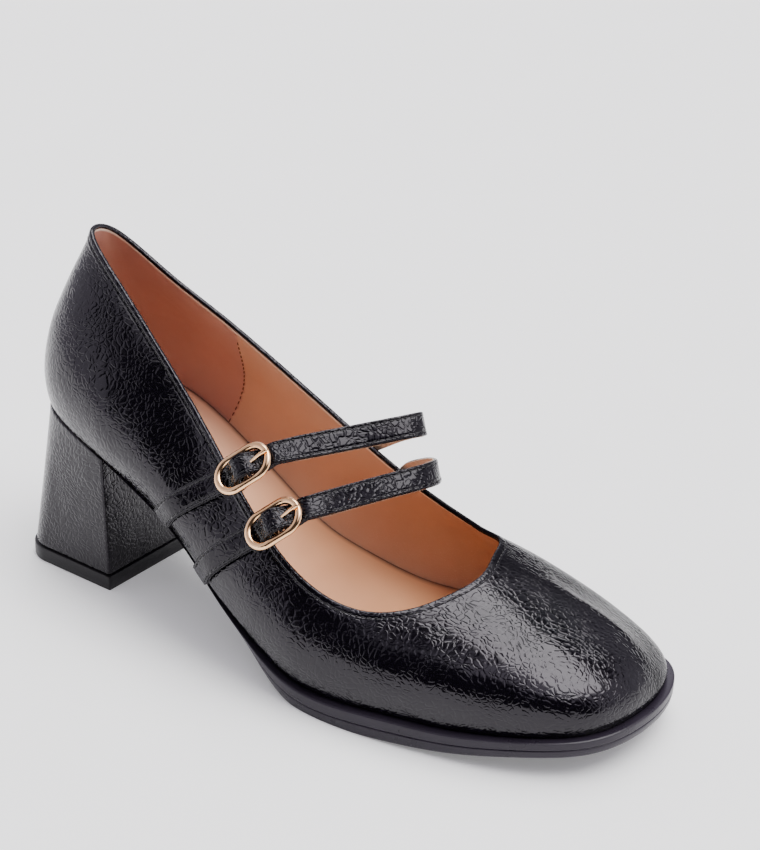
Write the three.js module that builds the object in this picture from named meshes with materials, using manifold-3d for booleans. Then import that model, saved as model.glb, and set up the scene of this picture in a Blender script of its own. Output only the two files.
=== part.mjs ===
// Right mary jane pump with a block heel, two narrow straps and a square toe.
// Millimetres. X runs from heel to toe, +Y is the medial (inner) side, Z is up, the soles rest on Z = 0.
import * as THREE from "three";
import Module from "manifold-3d";

const wasm = await Module();
wasm.setup();

// Driving sizes
const FOOT_LENGTH = 224;      // feather line, back of the heel to the toe
const BALL_WIDTH = 81;        // feather line across the ball
const SEAT_HEIGHT = 60;       // feather line above the ground at the back
const COLLAR_HEIGHT = 117;    // topline above the ground at the back
const UPPER_WALL = 1.6;
const GAP = 0.3;              // room between pieces that meet
const SOLE_DEPTH = 7.6;       // edge of the sole at the ball
const WELT = 2.4;             // how far the sole stands proud at the ball
const INSOLE_DEPTH = 2.4;
const BREAST = 0.168 * FOOT_LENGTH;    // front face of the heel, at its top
const LIFT_DEPTH = 5.2;
const LIFT_PROUD = 0.5;
const STRAP_WIDTH = 7.8;
const STRAP_DEPTH = 1.5;
const TAB_DEPTH = 1.2;
const BUCKLE_LENGTH = 20.6;
const BUCKLE_WIDTH = 12.9;
const BUCKLE_WIRE = 2.2;

// A table is a list of rows; each row holds one number for each of the named columns
const table = (names, rows) => rows.map((row) => Object.fromEntries(names.map((name, i) => [name, row[i]])));

// Height of the feather line and of the tread along the foot.
// at: share of FOOT_LENGTH; feather: share of SEAT_HEIGHT; sole: edge depth as a share of SOLE_DEPTH
const LENGTHWISE = table(["at", "feather", "sole"], [
  [0.000, 0.962, 0.40],
  [0.090, 0.915, 0.42],
  [0.170, 0.829, 0.46],
  [0.250, 0.690, 0.52],
  [0.330, 0.522, 0.62],
  [0.410, 0.335, 0.71],
  [0.480, 0.232, 0.79],
  [0.560, 0.141, 1.03],
  [0.650, 0.125, 1.06],
  [0.730, 0.145, 1.05],
  [0.820, 0.160, 0.91],
  [0.910, 0.200, 0.76],
  [1.010, 0.236, 0.74],
]);

// Stations round the foot, from the back along the lateral side to the toe and home on the medial side.
// along, topAlong: shares of FOOT_LENGTH; across, topAcross: shares of BALL_WIDTH; topHeight: share of
// COLLAR_HEIGHT; rise, lean: first handle of the section up and outward from the feather line, and
// run: length of its last handle below the topline, all shares of COLLAR_HEIGHT; slope: that handle's
// angle in degrees; welt, tuck: ledge and undercut of the sole, shares of WELT.
const ROUND = table([
  "along", "across", "topAlong", "topAcross", "topHeight", "rise", "lean", "run", "slope", "welt", "tuck",
], [
  [0.000, -0.012, 0.058, -0.012, 1.006, 0.220, 0.050, 0.140, 68, 0.0, 1.0],    // back of the heel
  [0.021, -0.220, 0.078, -0.100, 0.994, 0.220, 0.055, 0.140, 70, 0.0, 1.2],    // lateral heel corner
  [0.095, -0.324, 0.147, -0.160, 0.912, 0.200, 0.060, 0.140, 72, 0.0, 1.6],
  [0.187, -0.350, 0.228, -0.208, 0.800, 0.180, 0.080, 0.130, 74, 0.1, 2.4],    // lateral breast
  [0.312, -0.352, 0.325, -0.262, 0.655, 0.160, 0.110, 0.120, 74, 0.3, 2.8],
  [0.440, -0.421, 0.438, -0.350, 0.495, 0.140, 0.080, 0.110, 72, 0.6, 1.6],    // lateral arch
  [0.565, -0.497, 0.545, -0.408, 0.368, 0.130, 0.050, 0.100, 62, 0.9, 0.4],
  [0.686, -0.487, 0.636, -0.385, 0.310, 0.130, 0.030, 0.095, 42, 1.0, 0.0],    // lateral ball
  [0.802, -0.422, 0.700, -0.296, 0.315, 0.122, 0.022, 0.170, 22, 1.0, 0.0],
  [0.908, -0.324, 0.735, -0.170, 0.338, 0.122, 0.022, 0.290, 14, 1.0, 0.0],
  [0.981, -0.180, 0.752, -0.060, 0.356, 0.124, 0.022, 0.370, 13, 1.0, 0.0],    // lateral toe corner
  [1.009, 0.045, 0.753, 0.050, 0.366, 0.130, 0.024, 0.400, 14, 1.0, 0.0],    // toe
  [1.001, 0.269, 0.738, 0.164, 0.370, 0.074, 0.022, 0.315, 14.5, 1.0, 0.0],    // medial toe corner
  [0.961, 0.436, 0.723, 0.266, 0.368, 0.064, 0.020, 0.240, 27, 1.0, 0.0],
  [0.865, 0.494, 0.688, 0.312, 0.362, 0.062, 0.020, 0.170, 38, 1.0, 0.0],
  [0.760, 0.510, 0.640, 0.352, 0.360, 0.085, 0.024, 0.130, 48, 1.0, 0.0],    // medial ball
  [0.645, 0.472, 0.570, 0.362, 0.392, 0.130, 0.040, 0.110, 61, 0.9, 0.4],
  [0.520, 0.372, 0.480, 0.336, 0.475, 0.150, 0.060, 0.110, 72, 0.6, 1.6],    // medial arch
  [0.375, 0.286, 0.365, 0.262, 0.625, 0.170, 0.080, 0.120, 76, 0.3, 2.8],
  [0.215, 0.290, 0.232, 0.186, 0.784, 0.180, 0.080, 0.130, 76, 0.1, 2.4],    // medial breast
  [0.104, 0.278, 0.143, 0.136, 0.880, 0.200, 0.060, 0.140, 74, 0.0, 1.6],
  [0.026, 0.185, 0.076, 0.076, 0.972, 0.220, 0.050, 0.140, 70, 0.0, 1.2],    // medial heel corner
]);

// Side of the sole from its top edge to the tread: out in shares of the welt, down in shares of the depth
const SOLE_EDGE = table(["out", "down"], [
  [0.72, 0.00], [1.00, 0.09], [1.00, 0.42], [0.80, 0.49], [0.98, 0.56], [0.86, 0.90], [0.58, 1.00],
]);

// Straps: places are shares of FOOT_LENGTH, BALL_WIDTH and COLLAR_HEIGHT. root and tab name rows of ROUND
// and reach the share of the way up the wall where the leather starts.
const STRAPS = [
  {
    name: "rear", buckle: [0.455, -0.396, 0.597], bend: [0.597, 0.200, 0.655],
    root: 17.55, rootTop: 17.08, rootReach: 0.62, tab: 3.95, tabReach: 0.12, tabTop: 4.81,
  },
  {
    name: "front", buckle: [0.523, -0.440, 0.492], bend: [0.625, 0.190, 0.528],
    root: 16.88, rootTop: 16.38, rootReach: 0.58, tab: 4.60, tabReach: 0.09, tabTop: 5.48,
  },
];
const BUCKLE_ALONG = [0.66, 0.46, 0.60];    // lateral to medial
const BUCKLE_OUT = [-0.10, -0.80, 0.60];
const BEND_SIDE = [-0.45, 0.30, 0.84];

const AROUND = 96;
const UPWARD = 9;
const ACROSS = 6;
const STRAP_STEPS = 50;
const TAB_STEPS = 18;

// Smooth curve through the columns of a table
function curve(knots, values, period = 0) {
  const n = knots.length;
  const steps = knots.map((k, i) => (i + 1 < n ? knots[i + 1] - k : period ? knots[0] + period - k : 0));
  const bend = new Array(n).fill(0);
  const rises = knots.map((k, i) => (values[(i + 1) % n] - values[i]) / (steps[i] || 1));
  for (let pass = 0; pass < 200; pass += 1) {
    for (let i = period ? 0 : 1; i < (period ? n : n - 1); i += 1) {
      const b = (i + n - 1) % n;
      const a = (i + 1) % n;
      const pull = 6 * (rises[i] - rises[b]) - steps[b] * bend[b] - steps[i] * bend[a];
      bend[i] = pull / (2 * (steps[b] + steps[i]));
    }
  }
  return (where) => {
    let t = where;
    if (period) t = ((t - knots[0]) % period + period) % period + knots[0];
    let i = n - 1;
    while (i > 0 && knots[i] > t) i -= 1;
    if (!period && i > n - 2) i = n - 2;
    const h = steps[i];
    const x = t - knots[i];
    const a = (i + 1) % n;
    const slope = rises[i] - h * (2 * bend[i] + bend[a]) / 6;
    return values[i] + x * slope + x * x * bend[i] / 2 + x * x * x * (bend[a] - bend[i]) / (6 * h);
  };
}

const column = (table, key, size = 1) => table.map((row) => row[key] * size);
const profile = (key, size) => curve(column(LENGTHWISE, "at", FOOT_LENGTH), column(LENGTHWISE, key, size));
const feather = profile("feather", SEAT_HEIGHT);
const soleDepth = profile("sole", SOLE_DEPTH);

// Rows of the round table are spaced by the mean of both sides, so that left and right rows face each other
const HALF = ROUND.length / 2;
const spacing = ROUND.map((row, i) => {
  const k = i < HALF ? i : ROUND.length - 1 - i;
  const reach = (a, b) => Math.hypot((b.along - a.along) * FOOT_LENGTH, (b.across - a.across) * BALL_WIDTH);
  const right = reach(ROUND[k], ROUND[k + 1]);
  const left = reach(ROUND[(ROUND.length - k) % ROUND.length], ROUND[ROUND.length - 1 - k]);
  return (right + left) / 2;
});
const KNOTS = spacing.map((step, i) => spacing.slice(0, i).reduce((sum, s) => sum + s, 0));
const LOOP = spacing.reduce((sum, s) => sum + s, 0);
const around = (key, size = 1) => curve(KNOTS, column(ROUND, key, size), LOOP);
const at = {
  x: around("along", FOOT_LENGTH), y: around("across", BALL_WIDTH),
  tx: around("topAlong", FOOT_LENGTH), ty: around("topAcross", BALL_WIDTH), tz: around("topHeight", COLLAR_HEIGHT),
  rise: around("rise", COLLAR_HEIGHT), lean: around("lean", COLLAR_HEIGHT), run: around("run", COLLAR_HEIGHT),
  slope: around("slope", Math.PI / 180), welt: around("welt", WELT), tuck: around("tuck", WELT),
};
const rowPlace = (row) => {
  const i = Math.floor(row);
  return KNOTS[i] + (row - i) * spacing[i];
};

const V = (x, y, z) => new THREE.Vector3(x, y, z);
const UP = V(0, 0, 1);
function inward(xs, ys, t) {
  const e = 0.2;
  return V(-(ys(t + e) - ys(t - e)), xs(t + e) - xs(t - e), 0).normalize();
}

// Point of the upper's outside: t round the foot, s from the feather line (0) to the topline (1)
function outer(t, s) {
  const foot = V(at.x(t), at.y(t), feather(at.x(t)));
  const top = V(at.tx(t), at.ty(t), at.tz(t));
  const swell = foot.clone().addScaledVector(UP, at.rise(t)).addScaledVector(inward(at.x, at.y, t), -at.lean(t));
  const slope = at.slope(t);
  const brow = top.clone().addScaledVector(inward(at.tx, at.ty, t), -Math.cos(slope) * at.run(t))
    .addScaledVector(UP, -Math.sin(slope) * at.run(t));
  return new THREE.CubicBezierCurve3(foot, swell, brow, top).getPoint(s);
}
function outerNormal(t, s) {
  const a = Math.min(s + 0.01, 1);
  const b = Math.max(s - 0.01, 0);
  const up = outer(t, a).sub(outer(t, b));
  const on = outer(t + 0.5, s).sub(outer(t - 0.5, s));
  return on.cross(up).normalize();
}
const inner = (t, s, depth = UPPER_WALL) => outer(t, s).addScaledVector(outerNormal(t, s), -depth);

// Solids are gathered as points and triangles
class Skin {
  constructor() {
    this.points = [];
    this.faces = [];
  }
  add(p) {
    this.points.push(p);
    return this.points.length - 1;
  }
  ring(points) {
    return points.map((p) => this.add(p));
  }
  band(a, b, closed = true) {
    const n = a.length;
    for (let i = 0; i < (closed ? n : n - 1); i += 1) {
      const j = (i + 1) % n;
      this.faces.push([a[i], a[j], b[j]], [a[i], b[j], b[i]]);
    }
  }
  fan(tip, row, turn) {
    for (let i = 0; i + 1 < row.length; i += 1) {
      this.faces.push(turn ? [tip, row[i + 1], row[i]] : [tip, row[i], row[i + 1]]);
    }
  }
  geometry() {
    const g = new THREE.BufferGeometry();
    g.setAttribute("position", new THREE.Float32BufferAttribute(this.points.flatMap((p) => [p.x, p.y, p.z]), 3));
    let volume = 0;
    for (const [a, b, c] of this.faces) {
      volume += this.points[a].dot(this.points[b].clone().cross(this.points[c]));
    }
    g.setIndex(this.faces.flatMap(([a, b, c]) => (volume < 0 ? [a, c, b] : [a, b, c])));
    return g;
  }
}

// Closes a ring with rungs laid across it, each at the height given by level(x, y)
function cover(skin, ring, level, turn, first = 1, last = ring.length / 2 - 1) {
  const n = ring.length;
  const rungs = [];
  for (let k = first; k <= last; k += 1) {
    const a = skin.points[ring[k]];
    const b = skin.points[ring[n - k]];
    const rung = [ring[k]];
    for (let i = 1; i < ACROSS; i += 1) {
      const p = a.clone().lerp(b, i / ACROSS);
      rung.push(skin.add(V(p.x, p.y, level(p.x, p.y))));
    }
    rung.push(ring[n - k]);
    rungs.push(rung);
  }
  for (let k = 0; k + 1 < rungs.length; k += 1) {
    for (let i = 0; i < ACROSS; i += 1) {
      const quad = [rungs[k][i], rungs[k + 1][i], rungs[k + 1][i + 1], rungs[k][i + 1]];
      const [p, q, r, s] = turn ? quad.reverse() : quad;
      skin.faces.push([p, q, r], [p, r, s]);
    }
  }
  skin.fan(ring[0], rungs[0], turn);
  skin.fan(ring[n / 2], rungs[rungs.length - 1], !turn);
}

const stations = Array.from({ length: AROUND }, (_, i) => LOOP * i / AROUND);

// Upper: outside from the feather line to the topline, then the inside back down
function upper() {
  const skin = new Skin();
  const rows = [];
  for (let k = 0; k <= UPWARD; k += 1) rows.push(stations.map((t) => outer(t, k / UPWARD)));
  for (let k = UPWARD; k >= 0; k -= 1) {
    rows.push(stations.map((t) => {
      const p = inner(t, k / UPWARD);
      if (k === 0) p.z = feather(p.x);
      return p;
    }));
  }
  const rings = rows.map((row) => skin.ring(row));
  rings.forEach((ring, k) => skin.band(ring, rings[(k + 1) % rings.length]));
  return skin.geometry();
}

// Outsole: edge profile swept round the forepart and the shank, cut off at the heel breast
function outsole() {
  const skin = new Skin();
  const rings = SOLE_EDGE.map((step) => skin.ring(stations.map((t) => {
    const away = inward(at.x, at.y, t).negate();
    const p = V(at.x(t), at.y(t), 0).addScaledVector(away, at.welt(t) * step.out - at.tuck(t) * step.down);
    p.z = Math.max(feather(p.x) - GAP - soleDepth(p.x) * step.down, 0);
    return p;
  })));
  for (let k = 0; k + 1 < rings.length; k += 1) skin.band(rings[k], rings[k + 1]);
  cover(skin, rings[0], (x) => feather(x) - GAP, true);
  cover(skin, rings[rings.length - 1], (x) => Math.max(feather(x) - GAP - soleDepth(x), 0), false);
  const heelZone = new THREE.BoxGeometry(FOOT_LENGTH, 2 * BALL_WIDTH, 3 * SEAT_HEIGHT);
  heelZone.translate(BREAST + GAP - FOOT_LENGTH / 2, 0, 0);
  return cut(skin.geometry(), heelZone);
}

// Insole: lies inside the lining from heel to toe
function insole() {
  const skin = new Skin();
  const edge = (lift) => stations.map((t) => {
    const p = inner(t, lift / (3 * at.rise(t)), UPPER_WALL + GAP + 0.2);
    p.z = feather(p.x) + lift;
    return p;
  });
  const low = skin.ring(edge(0));
  const high = skin.ring(edge(INSOLE_DEPTH));
  skin.band(high, low);
  cover(skin, high, (x) => feather(x) + INSOLE_DEPTH, true);
  cover(skin, low, (x) => feather(x), false);
  return skin.geometry();
}

// Heel block: seat outline above, a rounded block below; k runs from the lateral breast corner
// round the back to the medial breast corner
const HEEL_POINTS = 29;
const HEEL_FOOT = { back: -0.008, front: 0.172, lateral: -0.338, medial: 0.300, round: 0.13 };
function placeWhere(x, side) {
  let near = 0;
  let far = LOOP / 2;
  for (let k = 0; k < 40; k += 1) {
    const middle = (near + far) / 2;
    if (at.x(side < 0 ? middle : LOOP - middle) < x) near = middle;
    else far = middle;
  }
  return side < 0 ? near : LOOP - near;
}
function heelTop(k) {
  const a = placeWhere(BREAST, -1);
  const b = placeWhere(BREAST, 1) - LOOP;
  const t = a + (b - a) * k / (HEEL_POINTS - 1);
  return V(at.x(t), at.y(t), 0);
}
function heelBottom(k, proud) {
  const back = HEEL_FOOT.back * FOOT_LENGTH - proud;
  const front = HEEL_FOOT.front * FOOT_LENGTH + proud;
  const low = HEEL_FOOT.lateral * BALL_WIDTH - proud;
  const high = HEEL_FOOT.medial * BALL_WIDTH + proud;
  const r = HEEL_FOOT.round * BALL_WIDTH;
  const side = front - back - r;
  const rear = high - low - 2 * r;
  const turn = r * Math.PI / 2;
  let s = (2 * side + rear + 2 * turn) * k / (HEEL_POINTS - 1);
  if (s <= side) return V(front - s, low, 0);
  s -= side;
  if (s <= turn) return V(back + r - r * Math.sin(s / r), low + r - r * Math.cos(s / r), 0);
  s -= turn;
  if (s <= rear) return V(back, low + r + s, 0);
  s -= rear;
  if (s <= turn) return V(back + r - r * Math.cos(s / r), high - r + r * Math.sin(s / r), 0);
  return V(back + r + s - turn, high, 0);
}
// Stacks outlines and closes them; the breast is drawn with rungs of its own
function block(levels, topHeight, bottomHeight) {
  const skin = new Skin();
  const rings = levels.map((points) => {
    const arc = skin.ring(points);
    const front = [];
    for (let i = 1; i < ACROSS; i += 1) {
      front.push(skin.add(points[points.length - 1].clone().lerp(points[0], i / ACROSS)));
    }
    return [...arc, ...front];
  });
  for (const i of rings[0]) skin.points[i].z = topHeight(skin.points[i].x);
  for (let k = 0; k + 1 < rings.length; k += 1) skin.band(rings[k], rings[k + 1]);
  const lid = (ring, level, turn) => {
    const arc = ring.slice(0, HEEL_POINTS);
    let before = [ring[0], ...ring.slice(HEEL_POINTS).reverse(), ring[HEEL_POINTS - 1]];
    for (let k = 1; k < (HEEL_POINTS - 1) / 2; k += 1) {
      const a = skin.points[arc[k]];
      const b = skin.points[arc[HEEL_POINTS - 1 - k]];
      const rung = [arc[k]];
      for (let i = 1; i < ACROSS; i += 1) {
        const p = a.clone().lerp(b, i / ACROSS);
        rung.push(skin.add(V(p.x, p.y, level(p.x))));
      }
      rung.push(arc[HEEL_POINTS - 1 - k]);
      for (let i = 0; i < ACROSS; i += 1) {
        const quad = [before[i], rung[i], rung[i + 1], before[i + 1]];
        const [p, q, r, s] = turn ? quad.reverse() : quad;
        skin.faces.push([p, q, r], [p, r, s]);
      }
      before = rung;
    }
    skin.fan(arc[(HEEL_POINTS - 1) / 2], before, !turn);
  };
  lid(rings[0], topHeight, true);
  lid(rings[rings.length - 1], bottomHeight, false);
  return skin.geometry();
}
const heelIndex = Array.from({ length: HEEL_POINTS }, (_, k) => k);
function heelBlock() {
  const base = LIFT_DEPTH + GAP;
  const levels = [0, 0.25, 0.5, 0.75, 1].map((v) => heelIndex.map((k) => {
    const top = heelTop(k);
    top.z = feather(top.x) - GAP;
    const p = top.clone().lerp(heelBottom(k, 0).setZ(base), v);
    return p;
  }));
  return block(levels, (x) => feather(x) - GAP, () => base);
}
function heelLift() {
  const levels = [LIFT_DEPTH, LIFT_DEPTH * 0.5, 0].map((z) => heelIndex.map((k) => heelBottom(k, LIFT_PROUD).setZ(z)));
  return block(levels, () => LIFT_DEPTH, () => 0);
}

// A leather strip: rectangle with eased top edges swept along a path; sides give its width direction
function strip(path, sides, width, depth) {
  const skin = new Skin();
  const section = [[-0.5, -0.5], [0.5, -0.5], [0.5, 0.15], [0.42, 0.5], [-0.42, 0.5], [-0.5, 0.15]];
  const rings = path.map((p, i) => {
    const before = path[Math.max(i - 1, 0)];
    const after = path[Math.min(i + 1, path.length - 1)];
    const along = after.clone().sub(before).normalize();
    const side = sides[i].clone().addScaledVector(along, -sides[i].dot(along)).normalize();
    const face = side.clone().cross(along).normalize();
    return skin.ring(section.map(([u, v]) => p.clone().addScaledVector(side, u * width)
      .addScaledVector(face, v * depth)));
  });
  for (let k = 0; k + 1 < rings.length; k += 1) skin.band(rings[k], rings[k + 1]);
  skin.fan(rings[0][0], rings[0].slice(1), true);
  skin.fan(rings[rings.length - 1][0], rings[rings.length - 1].slice(1), false);
  return skin.geometry();
}

// Resamples a path of control places to an even, smooth one
const smooth = (places, count) => new THREE.CatmullRomCurve3(places, false, "centripetal").getSpacedPoints(count);
const sized = (p) => V(p[0] * FOOT_LENGTH, p[1] * BALL_WIDTH, p[2] * COLLAR_HEIGHT);

// The buckle's own frame: u along the strap towards the medial side, v across it, w outward
function buckleFrame(strap) {
  const centre = sized(strap.buckle);
  const along = V(...BUCKLE_ALONG).normalize();
  const out = V(...BUCKLE_OUT);
  out.addScaledVector(along, -out.dot(along)).normalize();
  const side = out.clone().cross(along);
  const put = (u, v, w) => centre.clone().addScaledVector(along, u).addScaledVector(side, v).addScaledVector(out, w);
  return { along, out, side, put };
}
const WIRE = BUCKLE_WIRE / 2;
const BAR = 0.8 * WIRE;
const OVER = BAR + GAP + STRAP_DEPTH / 2;
const UNDER = WIRE + GAP + STRAP_DEPTH / 2;
const PRONG = 0.6;

// Lays a strip on the wall from one row of ROUND to another; gives its centre line and its sides
function layOnWall(from, to, reach, depth, count) {
  const low = rowPlace(from);
  const high = rowPlace(to);
  const shares = Array.from({ length: count }, (_, k) => k / (count - 1));
  const spot = (k) => [low + (high - low) * k, reach + (0.985 - reach) * k];
  const line = shares.map((k) => outer(...spot(k)).addScaledVector(outerNormal(...spot(k)), GAP + depth / 2 + 0.25 + 0.8 * k));
  const sides = shares.map((k) => {
    const on = outer(...spot(Math.min(k + 0.05, 1))).sub(outer(...spot(Math.min(k + 0.05, 1) - 0.1))).normalize();
    return on.cross(outerNormal(...spot(k))).normalize();
  });
  return { line, sides };
}
// Side of a strip at a share of its length: from the wall's sides over to the later ones
function sideAt(share, marks) {
  let k = 0;
  while (k + 2 < marks.length && share > marks[k + 1][0]) k += 1;
  const [from, a] = marks[k];
  const [to, b] = marks[k + 1];
  return a.clone().lerp(b, Math.min(Math.max((share - from) / (to - from), 0), 1));
}

// Long strap: sewn outside the medial wall, falls away from it, bends back and runs through the buckle
function longStrap(strap) {
  const f = buckleFrame(strap);
  const root = layOnWall(strap.root, strap.rootTop, strap.rootReach, STRAP_DEPTH, 4);
  const bend = sized(strap.bend);
  const last = root.line[3];
  const leave = last.clone().lerp(bend, 0.4).addScaledVector(V(0, 1, 0), 0.045 * BALL_WIDTH);
  const near = f.put(0.66 * BUCKLE_LENGTH, 0, -2.0 * UNDER);
  const half = near.clone().lerp(bend, 0.5);
  const hump = [[0.50, -UNDER], [0.31, -UNDER], [0.17, 0.15 * OVER], [0.06, OVER]];
  const path = smooth([
    ...root.line, leave, bend, half, near,
    ...hump.map(([u, w]) => f.put(u * BUCKLE_LENGTH, 0, w)),
    ...hump.slice().reverse().map(([u, w]) => f.put(-u * BUCKLE_LENGTH, 0, w)),
  ], STRAP_STEPS);
  const turn = V(...BEND_SIDE).normalize();
  const marks = [[0, root.sides[0]], [0.17, root.sides[3]], [0.34, turn], [0.62, f.side], [1, f.side]];
  const sides = path.map((p, i) => sideAt(i / STRAP_STEPS, marks));
  const slot = new THREE.BoxGeometry(6.4, 2 * PRONG + 2 * GAP, 4 * STRAP_DEPTH);
  const way = new THREE.Matrix4().makeBasis(f.along, f.side, f.out).setPosition(f.put(0.21 * BUCKLE_LENGTH, 0, 0));
  return cut(strip(path, sides, STRAP_WIDTH, STRAP_DEPTH), slot.applyMatrix4(way));
}

// Buckle tab: lies on the lateral wall, rises off the topline and ends under the buckle's bar
function buckleTab(strap) {
  const f = buckleFrame(strap);
  const wall = layOnWall(strap.tab, strap.tabTop, strap.tabReach, TAB_DEPTH, 5);
  const below = UNDER + STRAP_DEPTH / 2 + GAP + TAB_DEPTH / 2 + 0.1;
  const path = smooth([
    ...wall.line, f.put(-0.20 * BUCKLE_LENGTH, 0, -below - 0.4),
    f.put(0.04 * BUCKLE_LENGTH, 0, -BAR - GAP - TAB_DEPTH / 2 - 0.3),
  ], TAB_STEPS);
  const back = f.side.clone().negate();
  const marks = [[0, wall.sides[0]], [0.55, wall.sides[4]], [0.75, back], [1, back]];
  return strip(path, path.map((p, i) => sideAt(i / TAB_STEPS, marks)), STRAP_WIDTH, TAB_DEPTH);
}

// Buckle: round wire bent to a ring with straight sides, and a bar across its middle
function buckle(strap) {
  const f = buckleFrame(strap);
  const skin = new Skin();
  const radius = (BUCKLE_WIDTH - BUCKLE_WIRE) / 2;
  const straight = (BUCKLE_LENGTH - BUCKLE_WIDTH) / 2;
  const rings = [];
  for (let k = 0; k < 32; k += 1) {
    const turn = 2 * Math.PI * (k + 0.5) / 32;
    const away = V(Math.cos(turn), Math.sin(turn), 0);
    const shift = away.x > 0 ? straight : -straight;
    const ring = [];
    for (let i = 0; i < 8; i += 1) {
      const roll = 2 * Math.PI * i / 8;
      const out = radius + WIRE * Math.cos(roll);
      ring.push(f.put(away.x * out + shift, away.y * out, WIRE * Math.sin(roll)));
    }
    rings.push(skin.ring(ring));
  }
  rings.forEach((ring, k) => skin.band(ring, rings[(k + 1) % rings.length]));
  const bar = new THREE.CylinderGeometry(BAR, BAR, 2 * radius, 10);
  bar.applyMatrix4(new THREE.Matrix4().makeBasis(f.along, f.side, f.out).setPosition(f.put(0, 0, 0)));
  return join(skin.geometry(), bar);
}

// Prong: leaves the bar, comes up through the strap and rests on the medial end of the ring
function prong(strap) {
  const f = buckleFrame(strap);
  const rest = WIRE + PRONG + 0.12;
  const path = smooth([
    f.put(BAR + GAP + 0.1, 0, 0), f.put(0.21 * BUCKLE_LENGTH, 0, 0.45 * rest),
    f.put(0.38 * BUCKLE_LENGTH, 0, 0.92 * rest), f.put(0.52 * BUCKLE_LENGTH, 0, rest),
  ], 8);
  const skin = new Skin();
  const rings = path.map((p, i) => {
    const along = path[Math.min(i + 1, 8)].clone().sub(path[Math.max(i - 1, 0)]).normalize();
    const face = f.side.clone().cross(along).normalize();
    return skin.ring([0, 1, 2, 3, 4, 5].map((k) => p.clone()
      .addScaledVector(f.side, PRONG * Math.cos(Math.PI * k / 3))
      .addScaledVector(face, PRONG * Math.sin(Math.PI * k / 3))));
  });
  for (let k = 0; k + 1 < rings.length; k += 1) skin.band(rings[k], rings[k + 1]);
  skin.fan(rings[0][0], rings[0].slice(1), true);
  skin.fan(rings[8][0], rings[8].slice(1), false);
  return skin.geometry();
}

const LEATHER = { color: 0x17161a, roughness: 0.22, metalness: 0 };
const TAN = { color: 0xc89a7c, roughness: 0.6, metalness: 0 };
const RUBBER = { color: 0x151416, roughness: 0.45, metalness: 0 };
const GOLD = { color: 0xe2b48c, roughness: 0.22, metalness: 1 };

function toManifold(geometry) {
  const index = geometry.index.array;
  const position = geometry.attributes.position.array;
  const mesh = new wasm.Mesh({ numProp: 3, vertProperties: new Float32Array(position), triVerts: new Uint32Array(index) });
  mesh.merge();
  return new wasm.Manifold(mesh);
}
function fromManifold(solid) {
  const mesh = solid.getMesh();
  const g = new THREE.BufferGeometry();
  g.setAttribute("position", new THREE.Float32BufferAttribute(mesh.vertProperties, 3));
  g.setIndex(new THREE.Uint32BufferAttribute(mesh.triVerts, 1));
  return g;
}
const cut = (a, b) => fromManifold(toManifold(a).subtract(toManifold(b)));
const join = (a, b) => fromManifold(toManifold(a).add(toManifold(b)));

const group = new THREE.Group();
function piece(name, geometry, look) {
  const mesh = new THREE.Mesh(geometry, new THREE.MeshStandardMaterial(look));
  mesh.name = name;
  group.add(mesh);
}
piece("outsole", outsole(), RUBBER);
piece("insole", insole(), TAN);
piece("upper", upper(), LEATHER);
piece("heel_block", heelBlock(), LEATHER);
piece("heel_lift", heelLift(), RUBBER);

for (const strap of STRAPS) {
  piece("strap_" + strap.name, longStrap(strap), LEATHER);
  piece("tab_" + strap.name, buckleTab(strap), LEATHER);
  piece("buckle_" + strap.name, buckle(strap), GOLD);
  piece("prong_" + strap.name, prong(strap), GOLD);
}

// The origin is the middle of the bounding box, on the ground
const whole = new THREE.Box3().setFromObject(group);
const middle = whole.getCenter(V(0, 0, 0));
group.children.forEach((mesh) => mesh.geometry.translate(-middle.x, -middle.y, 0));

export default group;
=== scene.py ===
"""Right mary jane pump: patent upper, two buckled straps, square toe and block heel, in a pale studio."""
import functools
import math
import bpy
import numpy as np
from mathutils import Matrix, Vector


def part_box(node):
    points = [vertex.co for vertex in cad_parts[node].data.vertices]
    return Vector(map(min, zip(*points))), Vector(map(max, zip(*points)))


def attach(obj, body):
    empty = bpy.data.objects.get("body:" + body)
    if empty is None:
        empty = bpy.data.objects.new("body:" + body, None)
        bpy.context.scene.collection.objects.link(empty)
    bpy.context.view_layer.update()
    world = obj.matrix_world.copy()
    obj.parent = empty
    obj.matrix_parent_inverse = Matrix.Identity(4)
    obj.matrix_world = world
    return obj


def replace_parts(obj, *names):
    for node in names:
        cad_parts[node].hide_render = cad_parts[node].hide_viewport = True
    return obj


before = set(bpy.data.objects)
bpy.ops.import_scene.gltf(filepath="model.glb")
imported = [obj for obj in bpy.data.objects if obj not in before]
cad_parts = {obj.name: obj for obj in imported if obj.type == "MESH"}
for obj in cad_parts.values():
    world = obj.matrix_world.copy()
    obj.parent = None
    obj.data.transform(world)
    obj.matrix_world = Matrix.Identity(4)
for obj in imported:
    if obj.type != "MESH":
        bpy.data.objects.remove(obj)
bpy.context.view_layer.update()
MM = 0.001

# Sizes of the part, in millimetres
FOOT_LENGTH = 224.0
BALL_WIDTH = 81.0
SEAT_HEIGHT = 60.0
COLLAR_HEIGHT = 117.0
UPPER_WALL = 1.6
GAP = 0.3
SOLE_DEPTH = 7.6
WELT = 2.4
INSOLE_DEPTH = 2.4
BREAST = 0.168 * FOOT_LENGTH
LIFT_DEPTH = 5.2
LIFT_PROUD = 0.5
STRAP_WIDTH = 7.8
STRAP_DEPTH = 1.5
TAB_DEPTH = 1.2
BUCKLE_LENGTH = 20.6
BUCKLE_WIDTH = 12.9
BUCKLE_WIRE = 2.2

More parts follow.
